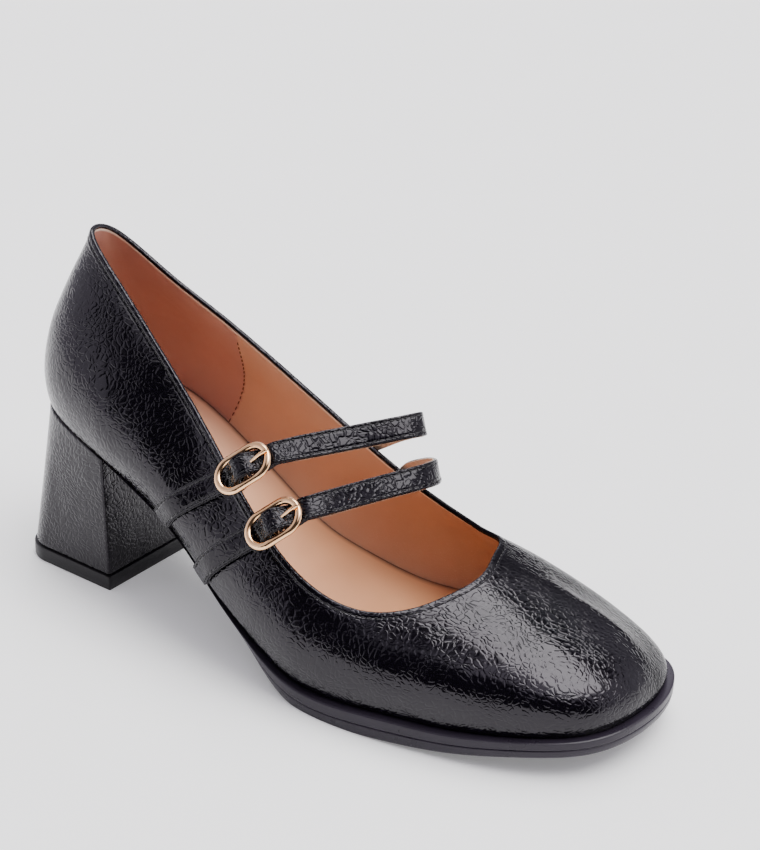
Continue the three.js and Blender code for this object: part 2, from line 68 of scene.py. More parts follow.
# Columns: at, a share of FOOT_LENGTH; feather line, a share of SEAT_HEIGHT; edge depth, of SOLE_DEPTH
LENGTHWISE = np.array([
    (0.000, 0.962, 0.40), (0.090, 0.915, 0.42), (0.170, 0.829, 0.46), (0.250, 0.690, 0.52),
    (0.330, 0.522, 0.62), (0.410, 0.335, 0.71), (0.480, 0.232, 0.79), (0.560, 0.141, 1.03),
    (0.650, 0.125, 1.06), (0.730, 0.145, 1.05), (0.820, 0.160, 0.91), (0.910, 0.200, 0.76),
    (1.010, 0.236, 0.74),
])

# Stations round the foot, from the back along the lateral side to the toe and home on the medial side.
# Columns: see NAMES; each is a share of the size at its place in SIZES, and slope is in degrees
ROUND = np.array([
    (0.000, -0.012, 0.058, -0.012, 1.006, 0.220, 0.050, 0.140, 68, 0.0, 1.0),
    (0.021, -0.220, 0.078, -0.100, 0.994, 0.220, 0.055, 0.140, 70, 0.0, 1.2),
    (0.095, -0.324, 0.147, -0.160, 0.912, 0.200, 0.060, 0.140, 72, 0.0, 1.6),
    (0.187, -0.350, 0.228, -0.208, 0.800, 0.180, 0.080, 0.130, 74, 0.1, 2.4),
    (0.312, -0.352, 0.325, -0.262, 0.655, 0.160, 0.110, 0.120, 74, 0.3, 2.8),
    (0.440, -0.421, 0.438, -0.350, 0.495, 0.140, 0.080, 0.110, 72, 0.6, 1.6),
    (0.565, -0.497, 0.545, -0.408, 0.368, 0.130, 0.050, 0.100, 62, 0.9, 0.4),
    (0.686, -0.487, 0.636, -0.385, 0.310, 0.130, 0.030, 0.095, 42, 1.0, 0.0),
    (0.802, -0.422, 0.700, -0.296, 0.315, 0.122, 0.022, 0.170, 22, 1.0, 0.0),
    (0.908, -0.324, 0.735, -0.170, 0.338, 0.122, 0.022, 0.290, 14, 1.0, 0.0),
    (0.981, -0.180, 0.752, -0.060, 0.356, 0.124, 0.022, 0.370, 13, 1.0, 0.0),
    (1.009, 0.045, 0.753, 0.050, 0.366, 0.130, 0.024, 0.400, 14, 1.0, 0.0),
    (1.001, 0.269, 0.738, 0.164, 0.370, 0.074, 0.022, 0.315, 14.5, 1.0, 0.0),
    (0.961, 0.436, 0.723, 0.266, 0.368, 0.064, 0.020, 0.240, 27, 1.0, 0.0),
    (0.865, 0.494, 0.688, 0.312, 0.362, 0.062, 0.020, 0.170, 38, 1.0, 0.0),
    (0.760, 0.510, 0.640, 0.352, 0.360, 0.085, 0.024, 0.130, 48, 1.0, 0.0),
    (0.645, 0.472, 0.570, 0.362, 0.392, 0.130, 0.040, 0.110, 61, 0.9, 0.4),
    (0.520, 0.372, 0.480, 0.336, 0.475, 0.150, 0.060, 0.110, 72, 0.6, 1.6),
    (0.375, 0.286, 0.365, 0.262, 0.625, 0.170, 0.080, 0.120, 76, 0.3, 2.8),
    (0.215, 0.290, 0.232, 0.186, 0.784, 0.180, 0.080, 0.130, 76, 0.1, 2.4),
    (0.104, 0.278, 0.143, 0.136, 0.880, 0.200, 0.060, 0.140, 74, 0.0, 1.6),
    (0.026, 0.185, 0.076, 0.076, 0.972, 0.220, 0.050, 0.140, 70, 0.0, 1.2),
])
SIZES = (FOOT_LENGTH, BALL_WIDTH, FOOT_LENGTH, BALL_WIDTH, COLLAR_HEIGHT, COLLAR_HEIGHT, COLLAR_HEIGHT,
         COLLAR_HEIGHT, math.pi / 180, WELT, WELT)
NAMES = ("x", "y", "tx", "ty", "tz", "rise", "lean", "run", "slope", "welt", "tuck")

# Side of the sole: out in shares of the welt, down in shares of the depth
SOLE_EDGE = np.array([
    (0.50, 0.00), (0.80, 0.01), (0.97, 0.05), (1.00, 0.12), (1.00, 0.30), (1.00, 0.42), (0.97, 0.455),
    (0.90, 0.475), (0.87, 0.49), (0.90, 0.505), (0.95, 0.525), (0.98, 0.56), (0.95, 0.72), (0.88, 0.88),
    (0.80, 0.95), (0.68, 0.985), (0.50, 1.00),
])
STRAPS = {
    "rear": dict(buckle=(0.455, -0.396, 0.597), bend=(0.597, 0.200, 0.655),
                 root=17.55, root_top=17.08, root_reach=0.62, tab=3.95, tab_reach=0.12, tab_top=4.81),
    "front": dict(buckle=(0.523, -0.440, 0.492), bend=(0.625, 0.190, 0.528),
                  root=16.88, root_top=16.38, root_reach=0.58, tab=4.60, tab_reach=0.09, tab_top=5.48),
}
BUCKLE_ALONG = np.array((0.66, 0.46, 0.60))
BUCKLE_OUT = np.array((-0.10, -0.80, 0.60))
BEND_SIDE = np.array((-0.45, 0.30, 0.84))
UP = np.array((0.0, 0.0, 1.0))


def curve(knots, values, period=0.0):
    """Smooth curve through values at knots; closed where a period is given."""
    knots = np.asarray(knots, float)
    values = np.asarray(values, float)
    n = len(knots)
    steps = np.empty(n)
    steps[:-1] = np.diff(knots)
    steps[-1] = knots[0] + period - knots[-1] if period else 1.0
    rises = (np.roll(values, -1) - values) / steps
    matrix = np.eye(n)
    right = np.zeros(n)
    for i in range(n) if period else range(1, n - 1):
        b, a = (i - 1) % n, (i + 1) % n
        matrix[i, i] = 2 * (steps[b] + steps[i])
        matrix[i, b] = steps[b]
        matrix[i, a] = steps[i]
        right[i] = 6 * (rises[i] - rises[b])
    bend = np.linalg.solve(matrix, right)

    def at(where):
        t = np.asarray(where, float)
        if period:
            t = np.mod(t - knots[0], period) + knots[0]
        i = np.clip(np.searchsorted(knots, t, side="right") - 1, 0, n - 1 if period else n - 2)
        h = steps[i]
        x = t - knots[i]
        a = (i + 1) % n
        slope = rises[i] - h * (2 * bend[i] + bend[a]) / 6
        return values[i] + x * slope + x * x * bend[i] / 2 + x ** 3 * (bend[a] - bend[i]) / (6 * h)
    return at


feather = curve(LENGTHWISE[:, 0] * FOOT_LENGTH, LENGTHWISE[:, 1] * SEAT_HEIGHT)
sole_depth = curve(LENGTHWISE[:, 0] * FOOT_LENGTH, LENGTHWISE[:, 2] * SOLE_DEPTH)


def tread(x):
    return np.maximum(feather(x) - GAP - sole_depth(x), 0.0)


ROWS = len(ROUND)
HALF = ROWS // 2


def reach(a, b):
    return math.hypot((b[0] - a[0]) * FOOT_LENGTH, (b[1] - a[1]) * BALL_WIDTH)


spacing = []
for index in range(ROWS):
    k = index if index < HALF else ROWS - 1 - index
    lateral = reach(ROUND[k], ROUND[k + 1])
    medial = reach(ROUND[(ROWS - k) % ROWS], ROUND[ROWS - 1 - k])
    spacing.append((lateral + medial) / 2)
KNOTS = np.concatenate([[0.0], np.cumsum(spacing)[:-1]])
LOOP = float(sum(spacing))
at = {name: curve(KNOTS, ROUND[:, k] * SIZES[k], LOOP) for k, name in enumerate(NAMES)}


def row_place(row):
    """Place round the shoe of a row of ROUND, fractions of a row too."""
    i = int(row)
    return KNOTS[i] + (row - i) * spacing[i]


def unit(v):
    return v / np.maximum(np.linalg.norm(v, axis=-1, keepdims=True), 1e-12)


def inward(xs, ys, t):
    """Level direction into the shoe, from the outline's slope over a short step."""
    step = 0.2
    return unit(np.stack([-(ys(t + step) - ys(t - step)), xs(t + step) - xs(t - step), 0 * t], -1))


def outer(t, s):
    """Outside of the upper: t round the foot, s from the feather line to the topline."""
    t, s = np.broadcast_arrays(np.asarray(t, float), np.asarray(s, float))
    foot = np.stack([at["x"](t), at["y"](t), feather(at["x"](t))], -1)
    top = np.stack([at["tx"](t), at["ty"](t), at["tz"](t)], -1)
    swell = foot + UP * at["rise"](t)[..., None] - inward(at["x"], at["y"], t) * at["lean"](t)[..., None]
    slope, run = at["slope"](t)[..., None], at["run"](t)[..., None]
    brow = top - inward(at["tx"], at["ty"], t) * np.cos(slope) * run - UP * np.sin(slope) * run
    s = s[..., None]
    return (1 - s) ** 3 * foot + 3 * (1 - s) ** 2 * s * swell + 3 * (1 - s) * s * s * brow + s ** 3 * top


def outer_normal(t, s):
    s = np.asarray(s, float)
    rise = outer(t, np.minimum(s + 0.01, 1)) - outer(t, np.maximum(s - 0.01, 0))
    on = outer(np.asarray(t) + 0.5, s) - outer(np.asarray(t) - 0.5, s)
    return unit(np.cross(on, rise))


# The row's frame: the origin sits under the middle of the part, found from the heel lift's corner
HEEL_FOOT = dict(back=-0.008, front=0.172, lateral=-0.338, medial=0.300, round=0.13)
lift_low = np.array(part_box("heel_lift")[0]) / MM
SHIFT = np.array((lift_low[0] - (HEEL_FOOT["back"] * FOOT_LENGTH - LIFT_PROUD),
                  lift_low[1] - (HEEL_FOOT["lateral"] * BALL_WIDTH - LIFT_PROUD), 0.0))


def set_smooth(mesh, angle=None):
    mesh.polygons.foreach_set("use_smooth", np.ones(len(mesh.polygons), bool))
    if angle:
        mesh.set_sharp_from_angle(angle=math.radians(angle))


def piece(name, points, faces, material, marks=None, sharp=None, body="root"):
    """Makes a mesh object from points in millimetres of the shoe's own frame."""
    mesh = bpy.data.meshes.new(name)
    mesh.from_pydata((np.asarray(points) + SHIFT) * MM, [], faces)
    mesh.validate()
    for key, values in (marks or {}).items():
        layer = mesh.attributes.new(key, "FLOAT", "POINT")
        layer.data.foreach_set("value", np.asarray(values, np.float32).ravel())
    set_smooth(mesh, sharp)
    obj = bpy.data.objects.new(name, mesh)
    bpy.context.scene.collection.objects.link(obj)
    obj.data.materials.append(material)
    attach(obj, body)
    return obj


def grid_faces(rows, columns, start=0, closed=True, flip=False):
    """Quads of a grid; closed joins its last column to its first."""
    count = columns if closed else columns - 1
    j, i = np.meshgrid(np.arange(rows - 1), np.arange(count), indexing="ij")
    n = (i + 1) % columns
    quads = np.stack([j * columns + i, j * columns + n, (j + 1) * columns + n, (j + 1) * columns + i], -1)
    quads = quads.reshape(-1, 4) + start
    return (quads[:, ::-1] if flip else quads).tolist()


WAVES = 5


def rng_wave(points, seed, sizes, weights):
    """Soft wandering height from seeded sine waves, for slight unevenness of the leather."""
    rng = np.random.default_rng(seed)
    total = np.zeros(points.shape[:-1])
    for size, weight in zip(sizes, weights):
        for _ in range(WAVES):
            way = unit(rng.normal(size=3))
            total += weight * np.sin(points @ way * 2 * math.pi / size + rng.uniform(0, 6.28)) / WAVES
    return total


# Materials
class Nodes:
    """Short helper round the node tree of a new material, or a tree that exists."""

    def __init__(self, name="", tree=None):
        self.tree = tree
        if not tree:
            self.material = bpy.data.materials.new(name)
            self.material.use_nodes = True
            self.tree = self.material.node_tree
            self.shader = self.tree.nodes["Principled BSDF"]

    def add(self, kind, values=None, **options):
        node = self.tree.nodes.new("ShaderNode" + kind)
        for key, value in options.items():
            setattr(node, key, value)
        for key, value in (values or {}).items():
            self.put(node.inputs[key], value)
        return node

    def put(self, socket, value):
        if isinstance(value, bpy.types.NodeSocket):
            self.tree.links.new(value, socket)
        else:
            socket.default_value = value

    def set(self, **values):
        for key, value in values.items():
            self.put(self.shader.inputs[key.replace("_", " ")], value)

    def place(self, scale=(1000, 1000, 1000), turn=(0, 0, 0)):
        where = self.add("TexCoord").outputs["Object"]
        values = {"Vector": where, "Scale": scale, "Rotation": turn}
        return self.add("Mapping", values).outputs["Vector"]

    def noise(self, where, scale, detail=3.0, rough=0.55, warp=0.0):
        values = {"Vector": where, "Scale": scale, "Detail": detail, "Roughness": rough, "Distortion": warp}
        return self.add("TexNoise", values).outputs["Fac"]

    def math(self, kind, a, b=0.0, clamp=False):
        node = self.add("Math", operation=kind, use_clamp=clamp)
        self.put(node.inputs[0], a)
        self.put(node.inputs[1], b)
        return node.outputs[0]

    def span(self, value, low, high, a=0.0, b=1.0):
        values = {"Value": value, "From Min": low, "From Max": high, "To Min": a, "To Max": b}
        return self.add("MapRange", values, interpolation_type="SMOOTHSTEP").outputs["Result"]

    def ramp(self, value, stops):
        node = self.add("ValToRGB", {"Fac": value})
        points = node.color_ramp.elements
        while len(points) < len(stops):
            points.new(0.5)
        for point, (where, colour) in zip(points, stops):
            point.position = where
            point.color = (*colour, 1)
        return node.outputs["Color"]

    def clouded(self, value, tone, dark):
        """Tone that falls to its dark share where value is low."""
        return self.ramp(value, [(0.3, tuple(dark * c for c in tone)), (0.7, tone)])

    def mix(self, factor, a, b):
        node = self.add("Mix", data_type="RGBA", blend_type="MIX")
        self.put(node.inputs[0], factor)
        self.put(node.inputs[6], a if isinstance(a, bpy.types.NodeSocket) else (*a, 1))
        self.put(node.inputs[7], b if isinstance(b, bpy.types.NodeSocket) else (*b, 1))
        return node.outputs[2]

    def mark(self, name):
        return self.add("Attribute", attribute_name=name).outputs["Fac"]

    def bump(self, height, depth, strength=1.0, normal=None):
        values = {"Height": height, "Distance": depth * MM, "Strength": strength}
        node = self.add("Bump", values)
        if normal:
            self.put(node.inputs["Normal"], normal)
        return node.outputs["Normal"]


def crinkle(n, where, size):
    """Height of crushed patent: short rounded folds that wander a little, parted by fine valleys."""
    bent = where
    for scale, reach_mm in ((0.07, 12.0), (0.5, 1.2)):
        drift = n.add("TexNoise", {"Vector": where, "Scale": scale, "Detail": 1.0}).outputs["Color"]
        moved = n.add("VectorMath", operation="MULTIPLY_ADD")
        n.put(moved.inputs[0], drift)
        n.put(moved.inputs[1], (reach_mm, reach_mm, reach_mm))
        n.put(moved.inputs[2], bent)
        bent = moved.outputs[0]
    scale = (0.8 / size, 1.0 / size, 0.95 / size)
    long_way = n.add("Mapping", {"Vector": bent, "Scale": scale}).outputs["Vector"]
    cells = n.add("TexVoronoi", {"Vector": long_way, "Scale": 1.0}, feature="DISTANCE_TO_EDGE")
    facet = n.span(cells.outputs["Distance"], 0.0, 0.24)
    soft = n.noise(long_way, 0.45, 2.0, 0.5)
    return n.math("ADD", n.math("MULTIPLY", facet, 0.6), n.math("MULTIPLY", soft, 0.6))


def patent(name, size=1.85, depth=0.105, turn=(0, 0, 0), tone=(0.0016, 0.0011, 0.0026), gloss=0.5):
    """Crinkled black patent leather; the mark far weakens its reflections on the toe's medial side, painted
    shade for dark surroundings there.
    """
    n = Nodes(name)
    where = n.place(turn=turn)
    fine = crinkle(n, where, size)
    broad = n.noise(where, 0.10, 1.0, 0.4)
    height = n.bump(fine, depth, 1.0, n.bump(broad, 0.30, 1.0))
    cloud = n.noise(where, 0.05, 4.0)
    colour = n.clouded(cloud, tone, 0.7)
    smear = n.noise(where, 0.03, 5.0, 0.6)
    n.set(Base_Color=colour, Roughness=n.span(smear, 0.3, 0.75, 0.09, 0.15), IOR=1.41, Normal=height)
    # Painted shade: reflections weakened where the mark far is set
    n.set(Specular_IOR_Level=n.math("SUBTRACT", gloss, n.math("MULTIPLY", n.mark("far"), 0.42)))
    n.set(Specular_Tint=(0.97, 0.92, 1.0, 1.0))
    return n.material


def lining_leather():
    """Pigskin lining: tan ahead, redder and darker at the counter, pale along its cut edge, and darkened by
    painted shade under the fold and towards the insole.
    """
    n = Nodes("lining_leather")
    where = n.place()
    cloud = n.noise(where, 0.06, 4.0)
    ahead = n.ramp(cloud, [(0.25, (0.58, 0.325, 0.205)), (0.75, (0.64, 0.365, 0.235))])
    counter = n.ramp(cloud, [(0.25, (0.46, 0.215, 0.165)), (0.75, (0.52, 0.255, 0.195))])
    body = n.mix(n.mark("counter"), ahead, counter)
    # Painted shade: the lining is darkened a little under the fold and more deep down towards the insole
    body = n.mix(n.math("MULTIPLY", n.mark("wear_and_shade"), 0.22), body, (0.35, 0.15, 0.09))
    colour = n.mix(n.mark("edge"), body, (0.85, 0.68, 0.53))
    pores = n.add("TexVoronoi", {"Vector": where, "Scale": 1.6}, feature="F1").outputs["Distance"]
    grain = n.math("ADD", n.span(pores, 0.0, 0.35), n.noise(where, 1.1, 3.0))
    height = n.bump(grain, 0.05, 1.0, n.bump(n.noise(where, 0.09, 2.0), 0.5, 1.0))
    n.set(Base_Color=colour, Roughness=n.span(cloud, 0.3, 0.7, 0.42, 0.56), Normal=height)
    n.set(Coat_Weight=0.3, Coat_Roughness=0.32)
    return n.material


def sock_leather():
    """Smooth nude insole leather, made paler at the heel seat by painted light and darkened along its rolled
    edge by a painted shadow.
    """
    n = Nodes("sock_leather")
    where = n.place()
    cloud = n.noise(where, 0.035, 4.0)
    colour = n.ramp(cloud, [(0.3, (0.60, 0.285, 0.138)), (0.7, (0.65, 0.318, 0.160))])
    # Painted light: the heel seat is made paler, standing in for light falling there
    colour = n.mix(n.mark("seat_hollow_and_light"), colour, (0.88, 0.53, 0.34))
    # Painted shadow: the rolled edge is darkened near black where it meets the lining
    colour = n.mix(n.mark("gap_shadow"), colour, (0.05, 0.025, 0.018))
    grain = n.noise(where, 1.5, 4.0)
    height = n.bump(grain, 0.025, 1.0, n.bump(n.noise(where, 0.07, 2.0), 0.35, 1.0))
    n.set(Base_Color=colour, Roughness=n.span(cloud, 0.3, 0.7, 0.40, 0.52), Normal=height)
    n.set(Coat_Weight=0.1, Coat_Roughness=0.3)
    return n.material


def sole_material(name, tone, rough, depth=0.04):
    """Painted sole edge, or its rubber: satin with fine sanding streaks."""
    n = Nodes(name)
    where = n.place()
    streak = n.noise(n.place((250, 250, 3500)), 0.6, 3.0)
    cloud = n.noise(where, 0.08, 4.0)
    colour = n.clouded(cloud, tone, 0.75)
    scuff = n.span(n.noise(where, 0.25, 5.0, 0.65), 0.60, 0.78)
    wear_and_shade = n.math("MULTIPLY", n.math("MULTIPLY", n.mark("bottom"), scuff), 0.5)
    colour = n.mix(wear_and_shade, colour, (0.06, 0.055, 0.055))
    height = n.bump(n.math("ADD", streak, n.noise(where, 1.4, 3.0)), depth, 1.0)
    n.set(Base_Color=colour, Roughness=n.span(cloud, 0.3, 0.7, rough - 0.05, rough + 0.07), Normal=height)
    n.set(IOR=1.33)
    return n.material


def raw_leather(name, tone):
    """Cut edge or flesh side of the leather."""
    n = Nodes(name)
    where = n.place()
    cloud = n.noise(where, 0.5, 4.0)
    # Near the buckle the back layer is darkened to near black
    colour = n.mix(n.mark("darkened_near_buckle"), n.clouded(cloud, tone, 0.72), (0.014, 0.010, 0.010))
    height = n.bump(n.noise(where, 2.5, 4.0, 0.6), 0.08, 1.0)
    n.set(Base_Color=colour, Roughness=0.62, Normal=height)
    return n.material


def plated(name):
    """Rose gold plating, polished, lightly rubbed."""
    n = Nodes(name)
    where = n.place()
    cloud = n.noise(where, 0.25, 4.0)
    colour = n.ramp(cloud, [(0.3, (0.84, 0.49, 0.25)), (0.7, (0.96, 0.61, 0.34))])
    scratch = n.noise(n.place((900, 900, 5200), (0.4, 0.2, 0.7)), 1.0, 4.0)
    height = n.bump(scratch, 0.006, 1.0, n.bump(n.noise(where, 0.3, 1.0), 0.10, 1.0))
    n.set(Base_Color=colour, Metallic=1.0, Roughness=n.span(cloud, 0.3, 0.7, 0.09, 0.16), Normal=height)
    return n.material


def thread_material(name, tone):
    n = Nodes(name)
    twist = n.noise(n.place((3000, 3000, 3000)), 1.2, 3.0)
    # Painted shade: the thread darkens in the low parts of its twist
    n.set(Base_Color=n.clouded(twist, tone, 0.6), Roughness=0.55, Normal=n.bump(twist, 0.06, 1.0))
    return n.material


UPPER_PATENT = patent("upper_patent")
STRAP_PATENT = patent("strap_patent", size=1.9, depth=0.20, gloss=0.32)
TAB_PATENT = patent("tab_patent", size=1.7, depth=0.08, gloss=0.40)
HEEL_PATENT = patent("heel_patent", size=1.7, depth=0.13, turn=(0.5, 0.3, 0.9), gloss=0.42)
LINING = lining_leather()
SOCK = sock_leather()
SOLE_EDGE_PAINT = sole_material("sole_edge_paint", (0.023, 0.018, 0.028), 0.30)
LIFT_RUBBER = sole_material("lift_rubber", (0.012, 0.011, 0.013), 0.38, 0.05)
STRAP_BACK = raw_leather("strap_back_leather", (0.66, 0.42, 0.28))
TAB_EDGE = raw_leather("tab_edge_leather", (0.030, 0.027, 0.032))
ROSE_GOLD = plated("rose_gold")
BLACK_THREAD = thread_material("black_thread", (0.016, 0.015, 0.017))
BROWN_THREAD = thread_material("brown_thread", (0.09, 0.035, 0.02))

# Upper: outside, folded topline and lining
AROUND = 640
stations = LOOP * np.arange(AROUND) / AROUND
FOLD = 0.75            # radius of the folded topline
BODY_ROWS = 92         # rows of the wall below the topline's band
BODY_DROP = 3.6        # where that band starts, below the topline
STITCH_DROP = 2.4      # stitches round the topline, below it
LINING_DROP = 3.2      # where the lining's even rows start
LINING_ROWS = 70
SEAM_ROW = 18.78       # counter seam, medial side, as a row of ROUND
SEAM_FAR_ROW = 3.2     # and lateral side
SEAM_BEND = 5.0        # how far the seam swings back at SEAM_DEPTH below the topline
SEAM_DEPTH = 38


def top_speed(t):
    """Millimetres of wall per unit of s close to the topline."""
    return 3 * at["run"](t)


def along_wall(t, drop):
    """Share s that lies drop millimetres below the topline."""
    return 1 - drop / top_speed(t)


def wall_points(t, s):
    """Outside of the upper: slightly uneven, and drawn in where it meets the sole."""
    p = outer(t, s)
    lift = 0.22 * rng_wave(p, 5, (34, 19), (1.0, 0.7)) * np.minimum(1, (1 - s) * 12)
    foot = np.exp(-((s * 3 * at["rise"](t)) / 1.6) ** 2)
    return p + outer_normal(t, s) * (lift - 0.30 * foot)[..., None]


body = 1 - (1 - np.linspace(0, 1, BODY_ROWS)) ** 1.12
tt, bb = np.meshgrid(stations, body, indexing="xy")
shell_rows = [wall_points(tt, bb * along_wall(tt, BODY_DROP))]
drops = np.array([3.3, 3.0, 2.75, 2.55, 2.4, 2.25, 2.1, 1.95, 1.7, 1.4, 1.1, FOLD])
band_lift = np.array([0.0, 0.0, -0.03, -0.13, -0.20, -0.16, -0.02, 0.08, 0.13, 0.14, 0.12, 0.10])
wave = rng_wave(outer(stations, np.ones_like(stations)), 9, (9, 5), (0.06, 0.05))
for drop, lift in zip(drops, band_lift):
    s = along_wall(stations, drop)
    p = outer(stations, s) + outer_normal(stations, s) * (lift + wave * (drop < 2.2))[..., None]
    shell_rows.append(p[None])
top_up = unit(outer(stations, np.ones(AROUND)) - outer(stations, np.full(AROUND, 0.98)))
top_out = outer_normal(stations, np.full(AROUND, 0.985))
centre = outer(stations, along_wall(stations, FOLD)) - top_out * FOLD
for turn in np.radians([15, 35, 55, 75, 90, 105, 125, 145, 165, 180]):
    ring = centre + top_out * (math.cos(turn) * (FOLD + 0.1)) + top_up * (math.sin(turn) * FOLD)
    shell_rows.append((ring + top_out * wave[..., None])[None])
shell_rows.append((centre - top_out * FOLD - top_up * 1.2)[None])
shell = np.concatenate(shell_rows)

# Mark far: the medial side ahead of the middle, where the photograph's mirrored surroundings are dark
sideways = outer_normal(stations, np.full(AROUND, 0.6))[:, 1]
ahead = np.clip((outer(stations, np.full(AROUND, 0.6))[:, 0] - 0.50 * FOOT_LENGTH) / 30, 0, 1)
far = np.clip((sideways + 0.05) / 0.35, 0, 1) * ahead
shell_piece = piece("upper_shell", shell.reshape(-1, 3), grid_faces(len(shell), AROUND),
                    UPPER_PATENT, dict(far=np.broadcast_to(far, shell.shape[:2])))

# Inside: lining from just under the fold down to the insole
# The third list is painted shade: slight just under the fold, growing deeper down towards the insole
inner_rows, edge, wear_and_shade = [], [], []
for drop in (0.9, 1.3, 1.8, 2.4, LINING_DROP):
    s = along_wall(stations, drop)
    out = outer_normal(stations, s)
    inset = UPPER_WALL * (0.82 if drop < 1.0 else 1.0)
    inner_rows.append(outer(stations, s) - out * inset)
    edge.append(np.full(AROUND, 1.0 if drop < 2.0 else 0.0))
    wear_and_shade.append(np.full(AROUND, 0.3))
for share in np.linspace(0, 1, LINING_ROWS)[1:]:
    s = (1 - share) * along_wall(stations, LINING_DROP)
    out = outer_normal(stations, s)
    p = outer(stations, s) - out * UPPER_WALL
    soft = 0.25 * rng_wave(p, 21, (26, 15), (1.0, 0.6)) * min(1, share * 5)
    inner_rows.append(p + out * np.minimum(soft, 0.1)[..., None])
    edge.append(np.zeros(AROUND))
    wear_and_shade.append(np.full(AROUND, max(0.0, share * 1.6 - 0.75)))
lining = np.stack(inner_rows)
below = np.maximum(outer(stations, np.ones(AROUND))[:, 2] - lining[..., 2], 0)
behind = stations > row_place(SEAM_ROW) + SEAM_BEND * (below / SEAM_DEPTH) ** 2
counter = (behind | (stations < row_place(SEAM_FAR_ROW))).astype(float)
marks = dict(edge=np.stack(edge), wear_and_shade=np.stack(wear_and_shade), counter=counter)
lining_piece = piece("lining", lining.reshape(-1, 3), grid_faces(len(lining), AROUND), LINING, marks)


def sheet_across(lateral, medial, height, count):
    """Rungs of points from lateral to medial edges, each at height(x, y, share)."""
    share = np.linspace(0, 1, count)[None, :, None]
    rungs = lateral[:, None] * (1 - share) + medial[:, None] * share
    level = height(rungs[..., 0], rungs[..., 1], np.broadcast_to(share[..., 0], rungs.shape[:2]))
    blend = np.sin(np.pi * share[..., 0]) ** 0.35
    rungs[..., 2] = rungs[..., 2] * (1 - blend) + level * blend
    return rungs


# Insole with a rolled edge and a slight seat for the heel
def insole_edge(t, lift, extra=0.0):
    s = lift / (3 * at["rise"](t))
    p = outer(t, s) - outer_normal(t, s) * (UPPER_WALL + 0.25 + extra)
    p[..., 2] = feather(p[..., 0]) + lift
    return p


half = np.linspace(0.001, LOOP / 2, 220)
edge_steps = [(0.3, 0.0), (INSOLE_DEPTH - 0.7, 0.0), (INSOLE_DEPTH - 0.3, 0.12), (INSOLE_DEPTH - 0.08, 0.4),
              (INSOLE_DEPTH, 0.8)]
left = [insole_edge(half, *step) for step in edge_steps]
right = [insole_edge(LOOP - half, *step) for step in edge_steps]


def insole_level(x, y, share):
    seat_hollow_and_light = np.exp(-((x - 34) / 28) ** 2) * np.sin(np.pi * share)
    ball = np.exp(-((x - 165) / 24) ** 2) * np.sin(np.pi * share)
    points = np.stack([x, y, 0 * x], -1)
    uneven = rng_wave(points, 33, (30, 17), (1, 0.6))
    return feather(x) + INSOLE_DEPTH - 0.5 * seat_hollow_and_light - 0.45 * ball + 0.12 * uneven


middle = sheet_across(left[-1], right[-1], insole_level, 46)
insole = np.concatenate([np.stack(left[:-1], 1), middle, np.stack(right[:-1][::-1], 1)], 1)
columns = insole.shape[1]
# Painted light: weight of the paler heel seat colour
seat_hollow_and_light = 0.9 * np.exp(-((insole[..., 0] - 40) / 34) ** 2)
# Painted shadow along the rolled edge on both sides, in the gap against the lining
gap_shadow = np.zeros(insole.shape[:2])
gap_shadow[:, :6] = (1, 1, 1, 1, 0.9, 0.3)
gap_shadow[:, -6:] = (0.3, 0.9, 1, 1, 1, 1)
faces = grid_faces(len(insole), columns, closed=False, flip=True)
insole_piece = piece("insole_leather", insole.reshape(-1, 3), faces, SOCK, dict(gap_shadow=gap_shadow, seat_hollow_and_light=seat_hollow_and_light))


# Outsole: edge profile down both sides, tread between them, closed at the breast
def place_where(x, side):
    """Place round the shoe where the feather line reaches x, on the lateral (-1) or medial (1) side."""
    near, far = 0.0, LOOP / 2
    for _ in range(40):
        middle_t = (near + far) / 2
        if at["x"](middle_t if side < 0 else LOOP - middle_t) < x:
            near = middle_t
        else:
            far = middle_t
    return near if side < 0 else LOOP - near


EDGE_STEPS = 49
knots = np.linspace(0, 1, len(SOLE_EDGE))
profile = np.stack([np.interp(np.linspace(0, 1, EDGE_STEPS), knots, SOLE_EDGE[:, k]) for k in (0, 1)], -1)


def sole_edge(t):
    """Edge profile at the stations t: an array of stations by steps of the profile."""
    flat = np.stack([at["x"](t), at["y"](t), 0 * t], -1)
    away = -inward(at["x"], at["y"], t)
    size = at["welt"](t)[:, None] * profile[None, :, 0] - at["tuck"](t)[:, None] * profile[None, :, 1]
    p = flat[:, None] + away[:, None] * size[..., None]
    wall = feather(p[..., 0]) - GAP - sole_depth(p[..., 0]) * profile[None, :, 1]
    p[..., 2] = np.maximum(wall, 0)
    return p


left, right = [sole_edge(np.linspace(place_where(BREAST + GAP, side), LOOP / 2, 300)) for side in (-1, 1)]
under = sheet_across(left[:, -1], right[:, -1], lambda x, y, share: tread(x), 34)[:, 1:-1]
over = sheet_across(right[:, 0], left[:, 0], lambda x, y, share: feather(x) - GAP, 14)[:, 1:-1]
sole = np.concatenate([left, under, right[:, ::-1], over], 1)
bottom = np.zeros(sole.shape[:2])
bottom[:, left.shape[1]:left.shape[1] + under.shape[1]] = 1
faces = grid_faces(len(sole), sole.shape[1])
faces.append(list(range(sole.shape[1])))
sole_piece = piece("outsole_edge", sole.reshape(-1, 3), faces, SOLE_EDGE_PAINT,
                   dict(bottom=bottom), sharp=50)


